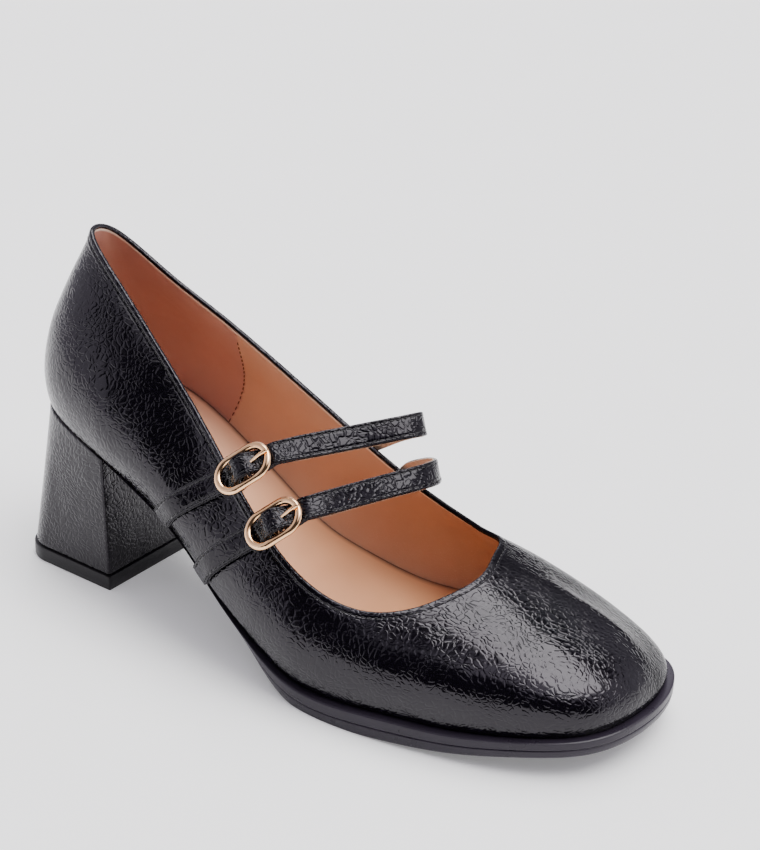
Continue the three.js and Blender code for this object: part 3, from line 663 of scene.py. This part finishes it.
# Heel block and lift
def rounded_ring(points, radius, steps=6):
    """Rounds the two breast corners of an outline that runs from corner to corner round the back."""
    first, last = points[0], points[-1]
    front = unit(first - last)
    a_way = unit(points[1] - first)
    b_way = unit(points[-2] - last)
    turns = np.linspace(0, math.pi / 2, steps)
    ring = []
    for turn in turns:
        ring.append(first + (a_way * radius) * (1 - math.cos(turn)) - front * radius * (1 - math.sin(turn)))
    ring.extend(points[2:-2])
    for turn in turns:
        ring.append(last + (b_way * radius) * (1 - math.sin(turn)) + front * radius * (1 - math.cos(turn)))
    return np.array(ring)


HEEL_POINTS = 240


def heel_top():
    a = place_where(BREAST, -1)
    b = place_where(BREAST, 1) - LOOP
    t = np.linspace(a, b, HEEL_POINTS)
    return np.stack([at["x"](t), at["y"](t), feather(at["x"](t)) - GAP], -1)


def heel_bottom(proud, z):
    """Outline at the heel's foot, from the lateral breast corner round the back to the medial one."""
    back = HEEL_FOOT["back"] * FOOT_LENGTH - proud
    front = HEEL_FOOT["front"] * FOOT_LENGTH + proud
    low = HEEL_FOOT["lateral"] * BALL_WIDTH - proud
    high = HEEL_FOOT["medial"] * BALL_WIDTH + proud
    r = HEEL_FOOT["round"] * BALL_WIDTH
    side = front - back - r
    rear = high - low - 2 * r
    turn = r * math.pi / 2
    s = (2 * side + rear + 2 * turn) * np.arange(HEEL_POINTS) / (HEEL_POINTS - 1)
    a = np.clip((s - side) / r, 0, math.pi / 2)
    b = np.clip((s - side - turn - rear) / r, 0, math.pi / 2)
    ahead = np.maximum(side - s, 0) + np.maximum(s - side - rear - 2 * turn, 0)
    x = back + r + ahead - r * np.sin(a) + r * (1 - np.cos(b))
    y = low + r * (1 - np.cos(a)) + np.clip(s - side - turn, 0, rear) + r * np.sin(b)
    return np.stack([x, y, np.full(HEEL_POINTS, float(z))], -1)


def stacked(name, rings, material):
    """Closed block of outlines from top to bottom, each closed across the breast by evenly spaced points."""
    rows = []
    for ring in rings:
        share = np.linspace(0, 1, 42)[1:-1, None]
        rows.append(np.concatenate([ring, ring[-1] * (1 - share) + ring[0] * share]))
    rows = np.stack(rows)
    columns = rows.shape[1]
    points = rows.reshape(-1, 3)
    faces = grid_faces(len(rows), columns)
    faces.append(list(range(columns))[::-1])
    faces.append(list(range(points.shape[0] - columns, points.shape[0])))
    bottom = np.zeros(len(points))
    bottom[-columns:] = 1
    return piece(name, points, faces, material, dict(bottom=bottom), sharp=40)


base = LIFT_DEPTH + GAP
top_ring = heel_top()
rings = []
levels = np.concatenate([[0.0, 0.004, 0.012], np.linspace(0.03, 0.97, 44), [0.988, 0.996, 1.0]])
for v in levels:
    ring = top_ring * (1 - v) + heel_bottom(0, base) * v
    inset = 0.5 * max(0, 1 - v / 0.012) ** 2 + 0.35 * max(0, 1 - (1 - v) / 0.012) ** 2
    middle_point = ring.mean(0)
    flat = unit((ring - middle_point) * (1, 1, 0))
    ring = ring - flat * inset
    rings.append(rounded_ring(ring, 0.9))
heel_piece = stacked("heel_cover", rings, HEEL_PATENT)
rings = []
lift_levels = ((LIFT_DEPTH, 0.35), (LIFT_DEPTH - 0.12, 0.1), (LIFT_DEPTH - 0.4, 0), (LIFT_DEPTH / 2, 0),
               (0.5, 0), (0.15, 0.1), (0.0, 0.35))
for z, inset in lift_levels:
    rings.append(rounded_ring(heel_bottom(LIFT_PROUD - inset, z), 0.5))
lift_piece = stacked("top_lift", rings, LIFT_RUBBER)


# Straps, tabs and buckles
def sized(p):
    return np.array(p) * (FOOT_LENGTH, BALL_WIDTH, COLLAR_HEIGHT)


class BuckleFrame:
    """Axes of a buckle: along the strap towards the medial side, across it, and outward."""

    def __init__(self, strap):
        self.centre = sized(strap["buckle"])
        self.along = unit(BUCKLE_ALONG)
        self.out = unit(BUCKLE_OUT - self.along * (BUCKLE_OUT @ self.along))
        self.side = np.cross(self.out, self.along)

    def put(self, u, v, w):
        u, v, w = np.broadcast_arrays(u, v, w)
        return (self.centre + u[..., None] * self.along + v[..., None] * self.side + w[..., None] * self.out)


WIRE = BUCKLE_WIRE / 2
BAR = 0.8 * WIRE
OVER = BAR + GAP + STRAP_DEPTH / 2
UNDER = WIRE + GAP + STRAP_DEPTH / 2
PRONG = 0.6
STRAP_ROLL = 0.42              # radians that the free part of a strap is rolled about its middle line
STRAP_BACK_DEPTH = 0.40        # unpainted back layer of a strap
STRAP_GROOVE = 0.345 * STRAP_WIDTH    # stitched channels, from the middle line
TAB_GROOVE = 0.36 * STRAP_WIDTH
TAB_SEWN = 0.72                # share of a tab's length that is stitched


def even_path(places, count):
    """Centripetal Catmull-Rom through the places, resampled to count + 1 even points."""
    p = np.array(places)
    p = np.concatenate([[2 * p[0] - p[1]], p, [2 * p[-1] - p[-2]]])
    steps = np.sqrt(np.maximum(np.linalg.norm(np.diff(p, axis=0), axis=1), 1e-4))
    dense = []
    for i in range(1, len(p) - 2):
        d0, d1, d2 = steps[i - 1], steps[i], steps[i + 1]
        m1 = (p[i] - p[i - 1]) / d0 - (p[i + 1] - p[i - 1]) / (d0 + d1) + (p[i + 1] - p[i]) / d1
        m2 = (p[i + 1] - p[i]) / d1 - (p[i + 2] - p[i]) / (d1 + d2) + (p[i + 2] - p[i + 1]) / d2
        m1, m2 = m1 * d1, m2 * d1
        u = np.linspace(0, 1, 60, endpoint=False)[:, None]
        dense.append((2 * p[i] - 2 * p[i + 1] + m1 + m2) * u ** 3
                     + (-3 * p[i] + 3 * p[i + 1] - 2 * m1 - m2) * u ** 2 + m1 * u + p[i])
    dense = np.concatenate(dense + [p[-2:-1]])
    gone = np.concatenate([[0], np.cumsum(np.linalg.norm(np.diff(dense, axis=0), axis=1))])
    where = np.linspace(0, gone[-1], count + 1)
    return np.stack([np.interp(where, gone, dense[:, k]) for k in range(3)], -1)


def lay_on_wall(low_row, high_row, low_reach, depth, count):
    low, high = row_place(low_row), row_place(high_row)
    line, side = [], []

    def spot(k):
        return low + (high - low) * k, low_reach + (0.985 - low_reach) * k
    for k in np.linspace(0, 1, count):
        n = outer_normal(*spot(k))
        line.append(outer(*spot(k)) + n * (GAP + depth / 2 + 0.25 + 0.8 * k))
        ahead = min(k + 0.05, 1)
        way = unit(outer(*spot(ahead)) - outer(*spot(ahead - 0.1)))
        side.append(unit(np.cross(way, n)))
    return line, side


def side_at(share, marks):
    k = 0
    while k + 2 < len(marks) and share > marks[k + 1][0]:
        k += 1
    (a_at, a), (b_at, b) = marks[k], marks[k + 1]
    f = min(max((share - a_at) / (b_at - a_at), 0), 1)
    return a + (b - a) * f


class Ribbon:
    """A leather strip's centre line with its axes at every step."""

    def __init__(self, places, marks, steps):
        self.path = even_path(places, steps)
        self.along = unit(np.gradient(self.path, axis=0))
        rough = np.array([side_at(i / steps, marks) for i in range(steps + 1)])
        for _ in range(6):
            rough[1:-1] = (rough[:-2] + 2 * rough[1:-1] + rough[2:]) / 4
        self.side = unit(rough - self.along * (rough * self.along).sum(-1, keepdims=True))
        self.face = unit(np.cross(self.side, self.along))
        self.gone = np.concatenate([[0], np.cumsum(np.linalg.norm(np.diff(self.path, axis=0), axis=1))])

    def at(self, distance, u, v):
        """Point distance millimetres along, u across and v above the centre line."""
        def pick(values):
            return np.stack([np.interp(distance, self.gone, values[:, k]) for k in range(3)], -1)
        u, v = np.asarray(u)[..., None], np.asarray(v)[..., None]
        return pick(self.path) + unit(pick(self.side)) * u + unit(pick(self.face)) * v

    def sweep(self, section, ends):
        """Rings of the section along the path; ends draws the first and last rings in to close them."""
        rings = []
        section = np.array(section)
        reaches = np.concatenate([[0, 0.12, 0.35, 0.7], np.arange(1.0, self.gone[-1] - 1, 0.6),
                                  self.gone[-1] - np.array([0.7, 0.35, 0.12, 0])])
        centre = section.mean(0)
        for d in reaches:
            near = min(d, self.gone[-1] - d)
            inset = ends * (1 - math.sqrt(max(0, 1 - max(0, 1 - near / 0.7) ** 2)))
            size = np.abs(section - centre).max(0)
            scale = np.maximum(1 - inset / size, 0.1)
            shape = centre + (section - centre) * scale
            rings.append(self.at(np.full(len(section), d), shape[:, 0], shape[:, 1]))
        return np.array(rings)


def long_strap(strap):
    f = BuckleFrame(strap)
    line, side = lay_on_wall(strap["root"], strap["root_top"], strap["root_reach"], STRAP_DEPTH, 4)
    bend = sized(strap["bend"])
    leave = line[3] * 0.6 + bend * 0.4 + np.array((0, 0.045 * BALL_WIDTH, 0))
    near = f.put(0.66 * BUCKLE_LENGTH, 0.0, -2.0 * UNDER)
    half_way = (near + bend) / 2
    hump = [(0.50, -UNDER), (0.31, -UNDER), (0.17, 0.15 * OVER), (0.06, OVER)]
    places = [*line, leave, bend, half_way, near]
    places += [f.put(u * BUCKLE_LENGTH, 0.0, w) for u, w in hump]
    places += [f.put(-u * BUCKLE_LENGTH, 0.0, w) for u, w in hump[::-1]]
    rolled = unit(f.side * math.cos(STRAP_ROLL) + f.out * math.sin(STRAP_ROLL))
    marks = [(0, side[0]), (0.17, side[3]), (0.34, unit(BEND_SIDE)), (0.47, unit(BEND_SIDE + f.side)),
             (0.60, rolled), (0.72, rolled), (0.80, f.side), (1, f.side)]
    return Ribbon(places, marks, 240)


def buckle_tab(strap):
    f = BuckleFrame(strap)
    line, side = lay_on_wall(strap["tab"], strap["tab_top"], strap["tab_reach"], TAB_DEPTH, 5)
    below = UNDER + STRAP_DEPTH / 2 + GAP + TAB_DEPTH / 2 + 0.1
    places = [*line, f.put(-0.20 * BUCKLE_LENGTH, 0.0, -below - 0.4),
              f.put(0.04 * BUCKLE_LENGTH, 0.0, -BAR - GAP - TAB_DEPTH / 2 - 0.3)]
    marks = [(0, side[0]), (0.55, side[4]), (0.75, -f.side), (1, -f.side)]
    return Ribbon(places, marks, 120)


def face_section(width, low, high, groove):
    """Top layer of a strip: rounded edges, a slight crown and a stitched channel near each edge."""
    half_width = width / 2
    r = min(0.45, (high - low) / 2)
    section = [(-half_width + 0.05, low), (half_width - 0.05, low)]
    for turn in np.radians([-60, -25, 5, 35, 65]):
        section.append((half_width - r + r * math.cos(turn), high - r + r * math.sin(turn)))
    for u in np.linspace(half_width - r, -half_width + r, 27):
        dip = 0.22 * math.exp(-((abs(u) - groove) / 0.32) ** 2) if groove else 0
        crown = 0.14 * math.exp(-((abs(u) - (groove + half_width) / 2) / 0.5) ** 2)
        section.append((u, high + 0.03 - dip + crown * 0.5))
    for turn in np.radians([115, 145, 175, 205, 240]):
        section.append((-half_width + r + r * math.cos(turn), high - r + r * math.sin(turn)))
    return section


def back_section(width, low, high):
    """Bottom layer of a strip: flat, with its lower edges taken off."""
    half_width = width / 2
    ease = 0.12
    return [(-half_width, low + ease), (-half_width + ease, low), (half_width - ease, low),
            (half_width, low + ease), (half_width, high), (-half_width, high)]


def swept(name, ribbon, section, material, ends):
    """Closed strip; its mark is 1 near the buckle, where the back layer is darkened to near black."""
    rings = ribbon.sweep(section, ends)
    columns = len(section)
    share = np.linspace(0, 1, len(rings))[:, None] * np.ones(columns)
    darkened_near_buckle = np.clip((share - 0.74) / 0.03, 0, 1)
    faces = grid_faces(len(rings), columns, flip=True)
    faces.append(list(range(columns)))
    faces.append(list(range((len(rings) - 1) * columns, len(rings) * columns))[::-1])
    return piece(name, rings.reshape(-1, 3), faces, material, dict(darkened_near_buckle=darkened_near_buckle), sharp=45)


# One stitch: share of its length, share of the radius, rise above its channel
STITCH = (
    (0.0, 0.35, -0.16), (0.12, 0.85, -0.02), (0.3, 1, 0.05), (0.5, 1, 0.07), (0.7, 1, 0.05),
    (0.88, 0.85, -0.02), (1.0, 0.35, -0.16),
)


def stitches(name, runs, material, radius=0.2):
    """Joins many small threads; runs lists (points, normals), each pair of points one stitch."""
    points, faces = [], []
    turns = 6
    for line, normals in runs:
        for k in range(0, len(line) - 1, 2):
            a, b = line[k], line[k + 1]
            n = unit(normals[k] + normals[k + 1])
            along = unit(b - a)
            side = unit(np.cross(n, along))
            n = np.cross(along, side)
            start = len(points)
            for share, size, rise in STITCH:
                middle_point = a * (1 - share) + b * share + n * rise
                for i in range(turns):
                    turn = 2 * math.pi * i / turns
                    points.append(middle_point + (side * math.cos(turn) + n * math.sin(turn)) * radius * size)
            faces += grid_faces(len(STITCH), turns, start)
    return piece(name, np.array(points), faces, material)


def thread_run(point_at, normal_at, length, pitch=2.3, share=0.72, start=0.0):
    """Ends of stitches of one run: point_at and normal_at take the distance along the run."""
    count = max(int((length - start) / pitch), 1)
    ends = []
    for k in range(count):
        ends += [start + k * pitch, start + k * pitch + pitch * share]
    ends = np.array(ends)
    return point_at(ends), normal_at(ends)


def sew(name, ribbon, groove, height, length, start):
    """Stitches along both edges of a strip, height above its middle line."""
    def normal(d):
        return ribbon.at(d, 0 * d, 0 * d + 1) - ribbon.at(d, 0 * d, 0 * d)

    def channel(u):
        return lambda d: ribbon.at(d, 0 * d + u, 0 * d + height)
    runs = [thread_run(channel(u), normal, length, start=start) for u in (-groove, groove)]
    stitches(name, runs, BLACK_THREAD, radius=0.17)


def dress(node, ribbon, face, back):
    """Face and back of a strip in place of its solid; each is (section, material, slot, ends); slot is not
    used.
    """
    for layer, (section, material, slot, ends) in (("_face", face), ("_back", back)):
        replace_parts(swept(node + layer, ribbon, section, material, ends), node)


for key in ("rear", "front"):
    strap = long_strap(STRAPS[key])
    low, high = -STRAP_DEPTH / 2, STRAP_DEPTH / 2
    split = low + STRAP_BACK_DEPTH
    dress("strap_" + key, strap,
          (face_section(STRAP_WIDTH - 0.1, split, high, STRAP_GROOVE), STRAP_PATENT, "patent", 0.5),
          (back_section(STRAP_WIDTH, low, split - 0.02), STRAP_BACK, "sock", 0.1))
    sew("strap_" + key + "_stitches", strap, STRAP_GROOVE, high - 0.10, strap.gone[-1] - 1.4, 1.2)

    tab = buckle_tab(STRAPS[key])
    low, high = -TAB_DEPTH / 2, TAB_DEPTH / 2
    dress("tab_" + key, tab,
          (face_section(STRAP_WIDTH - 0.5, low + 0.4, high, TAB_GROOVE), TAB_PATENT, "patent", 0.12),
          (back_section(STRAP_WIDTH, low, low + 0.42), TAB_EDGE, "patent", 0.05))
    sew("tab_" + key + "_stitches", tab, TAB_GROOVE, high - 0.10, tab.gone[-1] * TAB_SEWN, 1.4)


# Buckles: ring of wire with straight sides, wider than deep and flatter below, a bar across and the prong
RING_STEPS = 120
RING_SIDES = 20
WIRE_WIDE = 1.12
WIRE_FLAT = 0.72
BAR_ROWS, BAR_SIDES = 12, 16
PIN_ROWS, PIN_SIDES = 31, 14


def torus_ring(f, radius, straight, steps, section):
    """Ring swept round the buckle; section lists (away from the middle line, outward)."""
    rings = []
    for k in range(steps):
        turn = 2 * math.pi * (k + 0.5) / steps
        away = np.array((math.cos(turn), math.sin(turn)))
        shift = straight if away[0] > 0 else -straight
        ring = [f.put(away[0] * (radius + a) + shift, away[1] * (radius + a), w) for a, w in section]
        rings.append(np.array(ring))
    return np.array(rings)


def rod(path, radii, side_way, steps):
    """Closed round rod along a path."""
    path = np.array(path)
    along = unit(np.gradient(path, axis=0))
    side = unit(side_way - along * (along @ side_way)[:, None])
    face = np.cross(side, along)
    rings = []
    for k in range(len(path)):
        turn = 2 * math.pi * np.arange(steps) / steps
        rings.append(path[k] + np.outer(np.cos(turn), side[k]) * radii[k]
                     + np.outer(np.sin(turn), face[k]) * radii[k])
    return np.array(rings)


def closed_faces(rows, columns, start=0):
    """Faces of a rod of rows rings, with both ends closed."""
    faces = grid_faces(rows, columns, start, flip=True)
    faces.append([start + k for k in range(columns)])
    faces.append([start + (rows - 1) * columns + k for k in range(columns)][::-1])
    return faces


for key in ("rear", "front"):
    f = BuckleFrame(STRAPS[key])
    radius = (BUCKLE_WIDTH - BUCKLE_WIRE) / 2
    straight = (BUCKLE_LENGTH - BUCKLE_WIDTH) / 2
    section = []
    for k in range(RING_SIDES):
        turn = 2 * math.pi * k / RING_SIDES
        w = math.sin(turn)
        section.append((WIRE_WIDE * WIRE * math.cos(turn), WIRE * (w if w > 0 else WIRE_FLAT * w)))
    rings = torus_ring(f, radius, straight, RING_STEPS, section)
    rows, columns = rings.shape[:2]
    faces = grid_faces(rows, columns, flip=True)
    last = (rows - 1) * columns
    for a in range(columns):
        b = (a + 1) % columns
        faces.append([a, b, last + b, last + a])
    path = [f.put(0.0, v, 0.0) for v in np.linspace(-radius, radius, BAR_ROWS)]
    bar = rod(path, [BAR] * BAR_ROWS, f.along, BAR_SIDES)
    faces += closed_faces(BAR_ROWS, BAR_SIDES, rows * columns)
    points = np.concatenate([rings.reshape(-1, 3), bar.reshape(-1, 3)])
    ring_piece = piece("ring_" + key, points, faces, ROSE_GOLD, sharp=60)
    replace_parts(ring_piece, "buckle_" + key)

    rest = WIRE + PRONG + 0.12
    places = [f.put(BAR + GAP + 0.1, 0.0, 0.0), f.put(0.21 * BUCKLE_LENGTH, 0.0, 0.45 * rest),
              f.put(0.38 * BUCKLE_LENGTH, 0.0, 0.92 * rest), f.put(0.52 * BUCKLE_LENGTH, 0.0, rest)]
    path = even_path(places, PIN_ROWS - 1)
    radii = [PRONG * math.sqrt(max(0.04, 1 - max(0, (k - 27) / 3.2) ** 2)) for k in range(PIN_ROWS)]
    pin = rod(path, radii, f.side, PIN_SIDES)
    pin_faces = closed_faces(PIN_ROWS, PIN_SIDES)
    pin_piece = piece("pin_" + key, pin.reshape(-1, 3), pin_faces, ROSE_GOLD, sharp=60)
    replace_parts(pin_piece, "prong_" + key)

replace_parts(shell_piece, "upper")
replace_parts(lining_piece, "upper")
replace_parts(insole_piece, "insole")
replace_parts(sole_piece, "outsole")
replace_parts(heel_piece, "heel_block")
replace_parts(lift_piece, "heel_lift")

# Stitches round the topline and down the counter seam
stitch_line = outer(stations, along_wall(stations, STITCH_DROP))
top_gone = np.concatenate([[0], np.cumsum(np.linalg.norm(np.diff(stitch_line, axis=0), axis=1))])


def wall_run(place, depth, facing, *run):
    """Run of stitches depth millimetres inside the wall; facing is 1 outside and -1 inside."""
    def point(d):
        return outer(*place(d)) - outer_normal(*place(d)) * depth

    def normal(d):
        return facing * outer_normal(*place(d))
    return thread_run(point, normal, *run)


def topline_place(d):
    t = np.interp(d, top_gone, stations)
    return t, along_wall(t, STITCH_DROP)


def seam_place(d):
    t = row_place(SEAM_ROW) + SEAM_BEND * (d / SEAM_DEPTH) ** 2
    return t, np.maximum(1 - d / top_speed(t), 0.02)


topline_run = wall_run(topline_place, 0.12, 1, top_gone[-1], 2.1, 0.7)
stitches("topline_stitches", [topline_run], BLACK_THREAD, radius=0.16)
seam_run = wall_run(seam_place, UPPER_WALL + 0.06, -1, 46, 2.2, 0.6, 6.0)
stitches("seam_stitches", [seam_run], BROWN_THREAD, 0.2)

# Studio: pale floor, which gives off a little light of its own to keep its shadows pale
FLOOR = 3.0
FLOOR_LIGHT = 0.22
floor_mesh = bpy.data.meshes.new("studio_floor")
floor_rows = [(-FLOOR, -FLOOR, 0), (FLOOR, -FLOOR, 0), (FLOOR, FLOOR, 0), (-FLOOR, FLOOR, 0)]
floor_mesh.from_pydata(floor_rows, [], [(0, 1, 2, 3)])
floor = bpy.data.objects.new("studio_floor", floor_mesh)
bpy.context.scene.collection.objects.link(floor)
n = Nodes("studio_paper")
paper = n.noise(n.place((20, 20, 20)), 1.0, 3.0)
n.set(Base_Color=n.ramp(paper, [(0.3, (0.87, 0.87, 0.87)), (0.7, (0.885, 0.885, 0.885))]), Roughness=0.8)
n.set(IOR=1.3, Emission_Color=(1, 1, 1, 1), Emission_Strength=FLOOR_LIGHT)
floor.data.materials.append(n.material)

# Light: a large soft box overhead, turned a little and set towards the medial side, pale walls
# behind the heel, the toe and the medial side, and darkness where the camera stands
SOFT_BOX = 8.6
HALO = 1.8
WALL = 1.2
DIM = 0.06
world = bpy.data.worlds.new("studio")
bpy.context.scene.world = world
world.use_nodes = True
sky = Nodes(tree=world.node_tree)
parts = sky.add("SeparateXYZ", {"Vector": sky.add("TexCoord").outputs["Generated"]}).outputs
x, y, z = parts["X"], parts["Y"], parts["Z"]


def band(value, low, high, soft):
    """1 between low and high, falling off softly outside."""
    start = sky.span(value, low - soft, low + soft)
    stop = sky.span(value, high - soft, high + soft, 1.0, 0.0)
    return sky.math("MULTIPLY", start, stop)


def product(*values):
    return functools.reduce(functools.partial(sky.math, "MULTIPLY"), values)


def total_of(*values):
    return functools.reduce(functools.partial(sky.math, "ADD"), values)


high = sky.math("MAXIMUM", z, 0.001)
flat_x = sky.math("DIVIDE", x, high)
flat_y = sky.math("DIVIDE", y, high)
TURN = math.radians(-20)
box_u = total_of(product(flat_x, math.cos(TURN)), product(flat_y, math.sin(TURN)))
box_v = total_of(product(flat_x, -math.sin(TURN)), product(flat_y, math.cos(TURN)))
above = sky.span(z, 0.0, 0.02)
halo = product(band(box_u, -0.10, 1.05, 0.12), band(box_v, -0.52, 0.66, 0.10), above, HALO)
soft_box = product(band(box_u, -0.64, 0.74, 0.06), band(box_v, -0.02, 0.63, 0.06), above, SOFT_BOX)
level_reach = sky.math("SQRT", sky.math("MAXIMUM", total_of(product(x, x), product(y, y)), 0.001))
east = sky.math("DIVIDE", x, level_reach)
north = sky.math("DIVIDE", y, level_reach)
heel_side = sky.span(east, -0.42, -0.54)
heel_low = product(heel_side, sky.span(z, 0.38, 0.52, 1.0, 0.0), 0.45 * WALL)
heel_wall = total_of(heel_low, product(heel_side, sky.span(z, 0.85, 0.92, 1.0, 0.0), 0.55 * WALL))
wall_top = sky.span(z, 0.66, 0.74, 1.0, 0.0)
toe_wall = product(band(north, 0.0, 0.98, 0.06), sky.span(east, 0.10, 0.30), wall_top)
medial_side = product(sky.span(north, 0.60, 0.80), sky.span(east, 0.30, 0.10))
medial_wall = product(medial_side, sky.span(z, 0.10, 0.26, 0.20, 0.62), wall_top)
walls = total_of(halo, heel_wall, product(total_of(toe_wall, medial_wall), WALL), DIM)
ground = world.node_tree.nodes["Background"]
tint = sky.mix(sky.span(soft_box, 0.0, 1.0), (0.98, 0.94, 1.06), (1.0, 0.995, 0.99))
sky.put(ground.inputs["Color"], tint)
sky.put(ground.inputs["Strength"], total_of(soft_box, walls))

# Camera at the photograph's angle, rolled as it was held
AZIMUTH, ELEVATION, ROLL = math.radians(37.06), math.radians(26.9), math.radians(1.34)
DISTANCE = 733.0
TARGET = (104.0, 0.0, 45.0)      # point of the shoe that would be in the middle of the picture
OFFSET = (21.3, 24.9)            # but for this shift of the camera to its right and up
back = np.array((math.sin(AZIMUTH) * math.cos(ELEVATION), -math.cos(AZIMUTH) * math.cos(ELEVATION),
                 math.sin(ELEVATION)))
level = np.array((math.cos(AZIMUTH), math.sin(AZIMUTH), 0))
rise = np.cross(back, level)
right = level * math.cos(ROLL) + rise * math.sin(ROLL)
up = rise * math.cos(ROLL) - level * math.sin(ROLL)
place = np.array(TARGET) + SHIFT + back * DISTANCE + right * OFFSET[0] + up * OFFSET[1]
camera_data = bpy.data.cameras.new("camera")
camera_data.sensor_width = 36
camera_data.lens = 96.95
camera_data.clip_start = 0.02
camera = bpy.data.objects.new("camera", camera_data)
bpy.context.scene.collection.objects.link(camera)
turned = np.stack([right, up, back], -1)
camera.matrix_world = Matrix([(*row, p) for row, p in zip(turned, place * MM)] + [(0, 0, 0, 1)])
bpy.context.scene.camera = camera
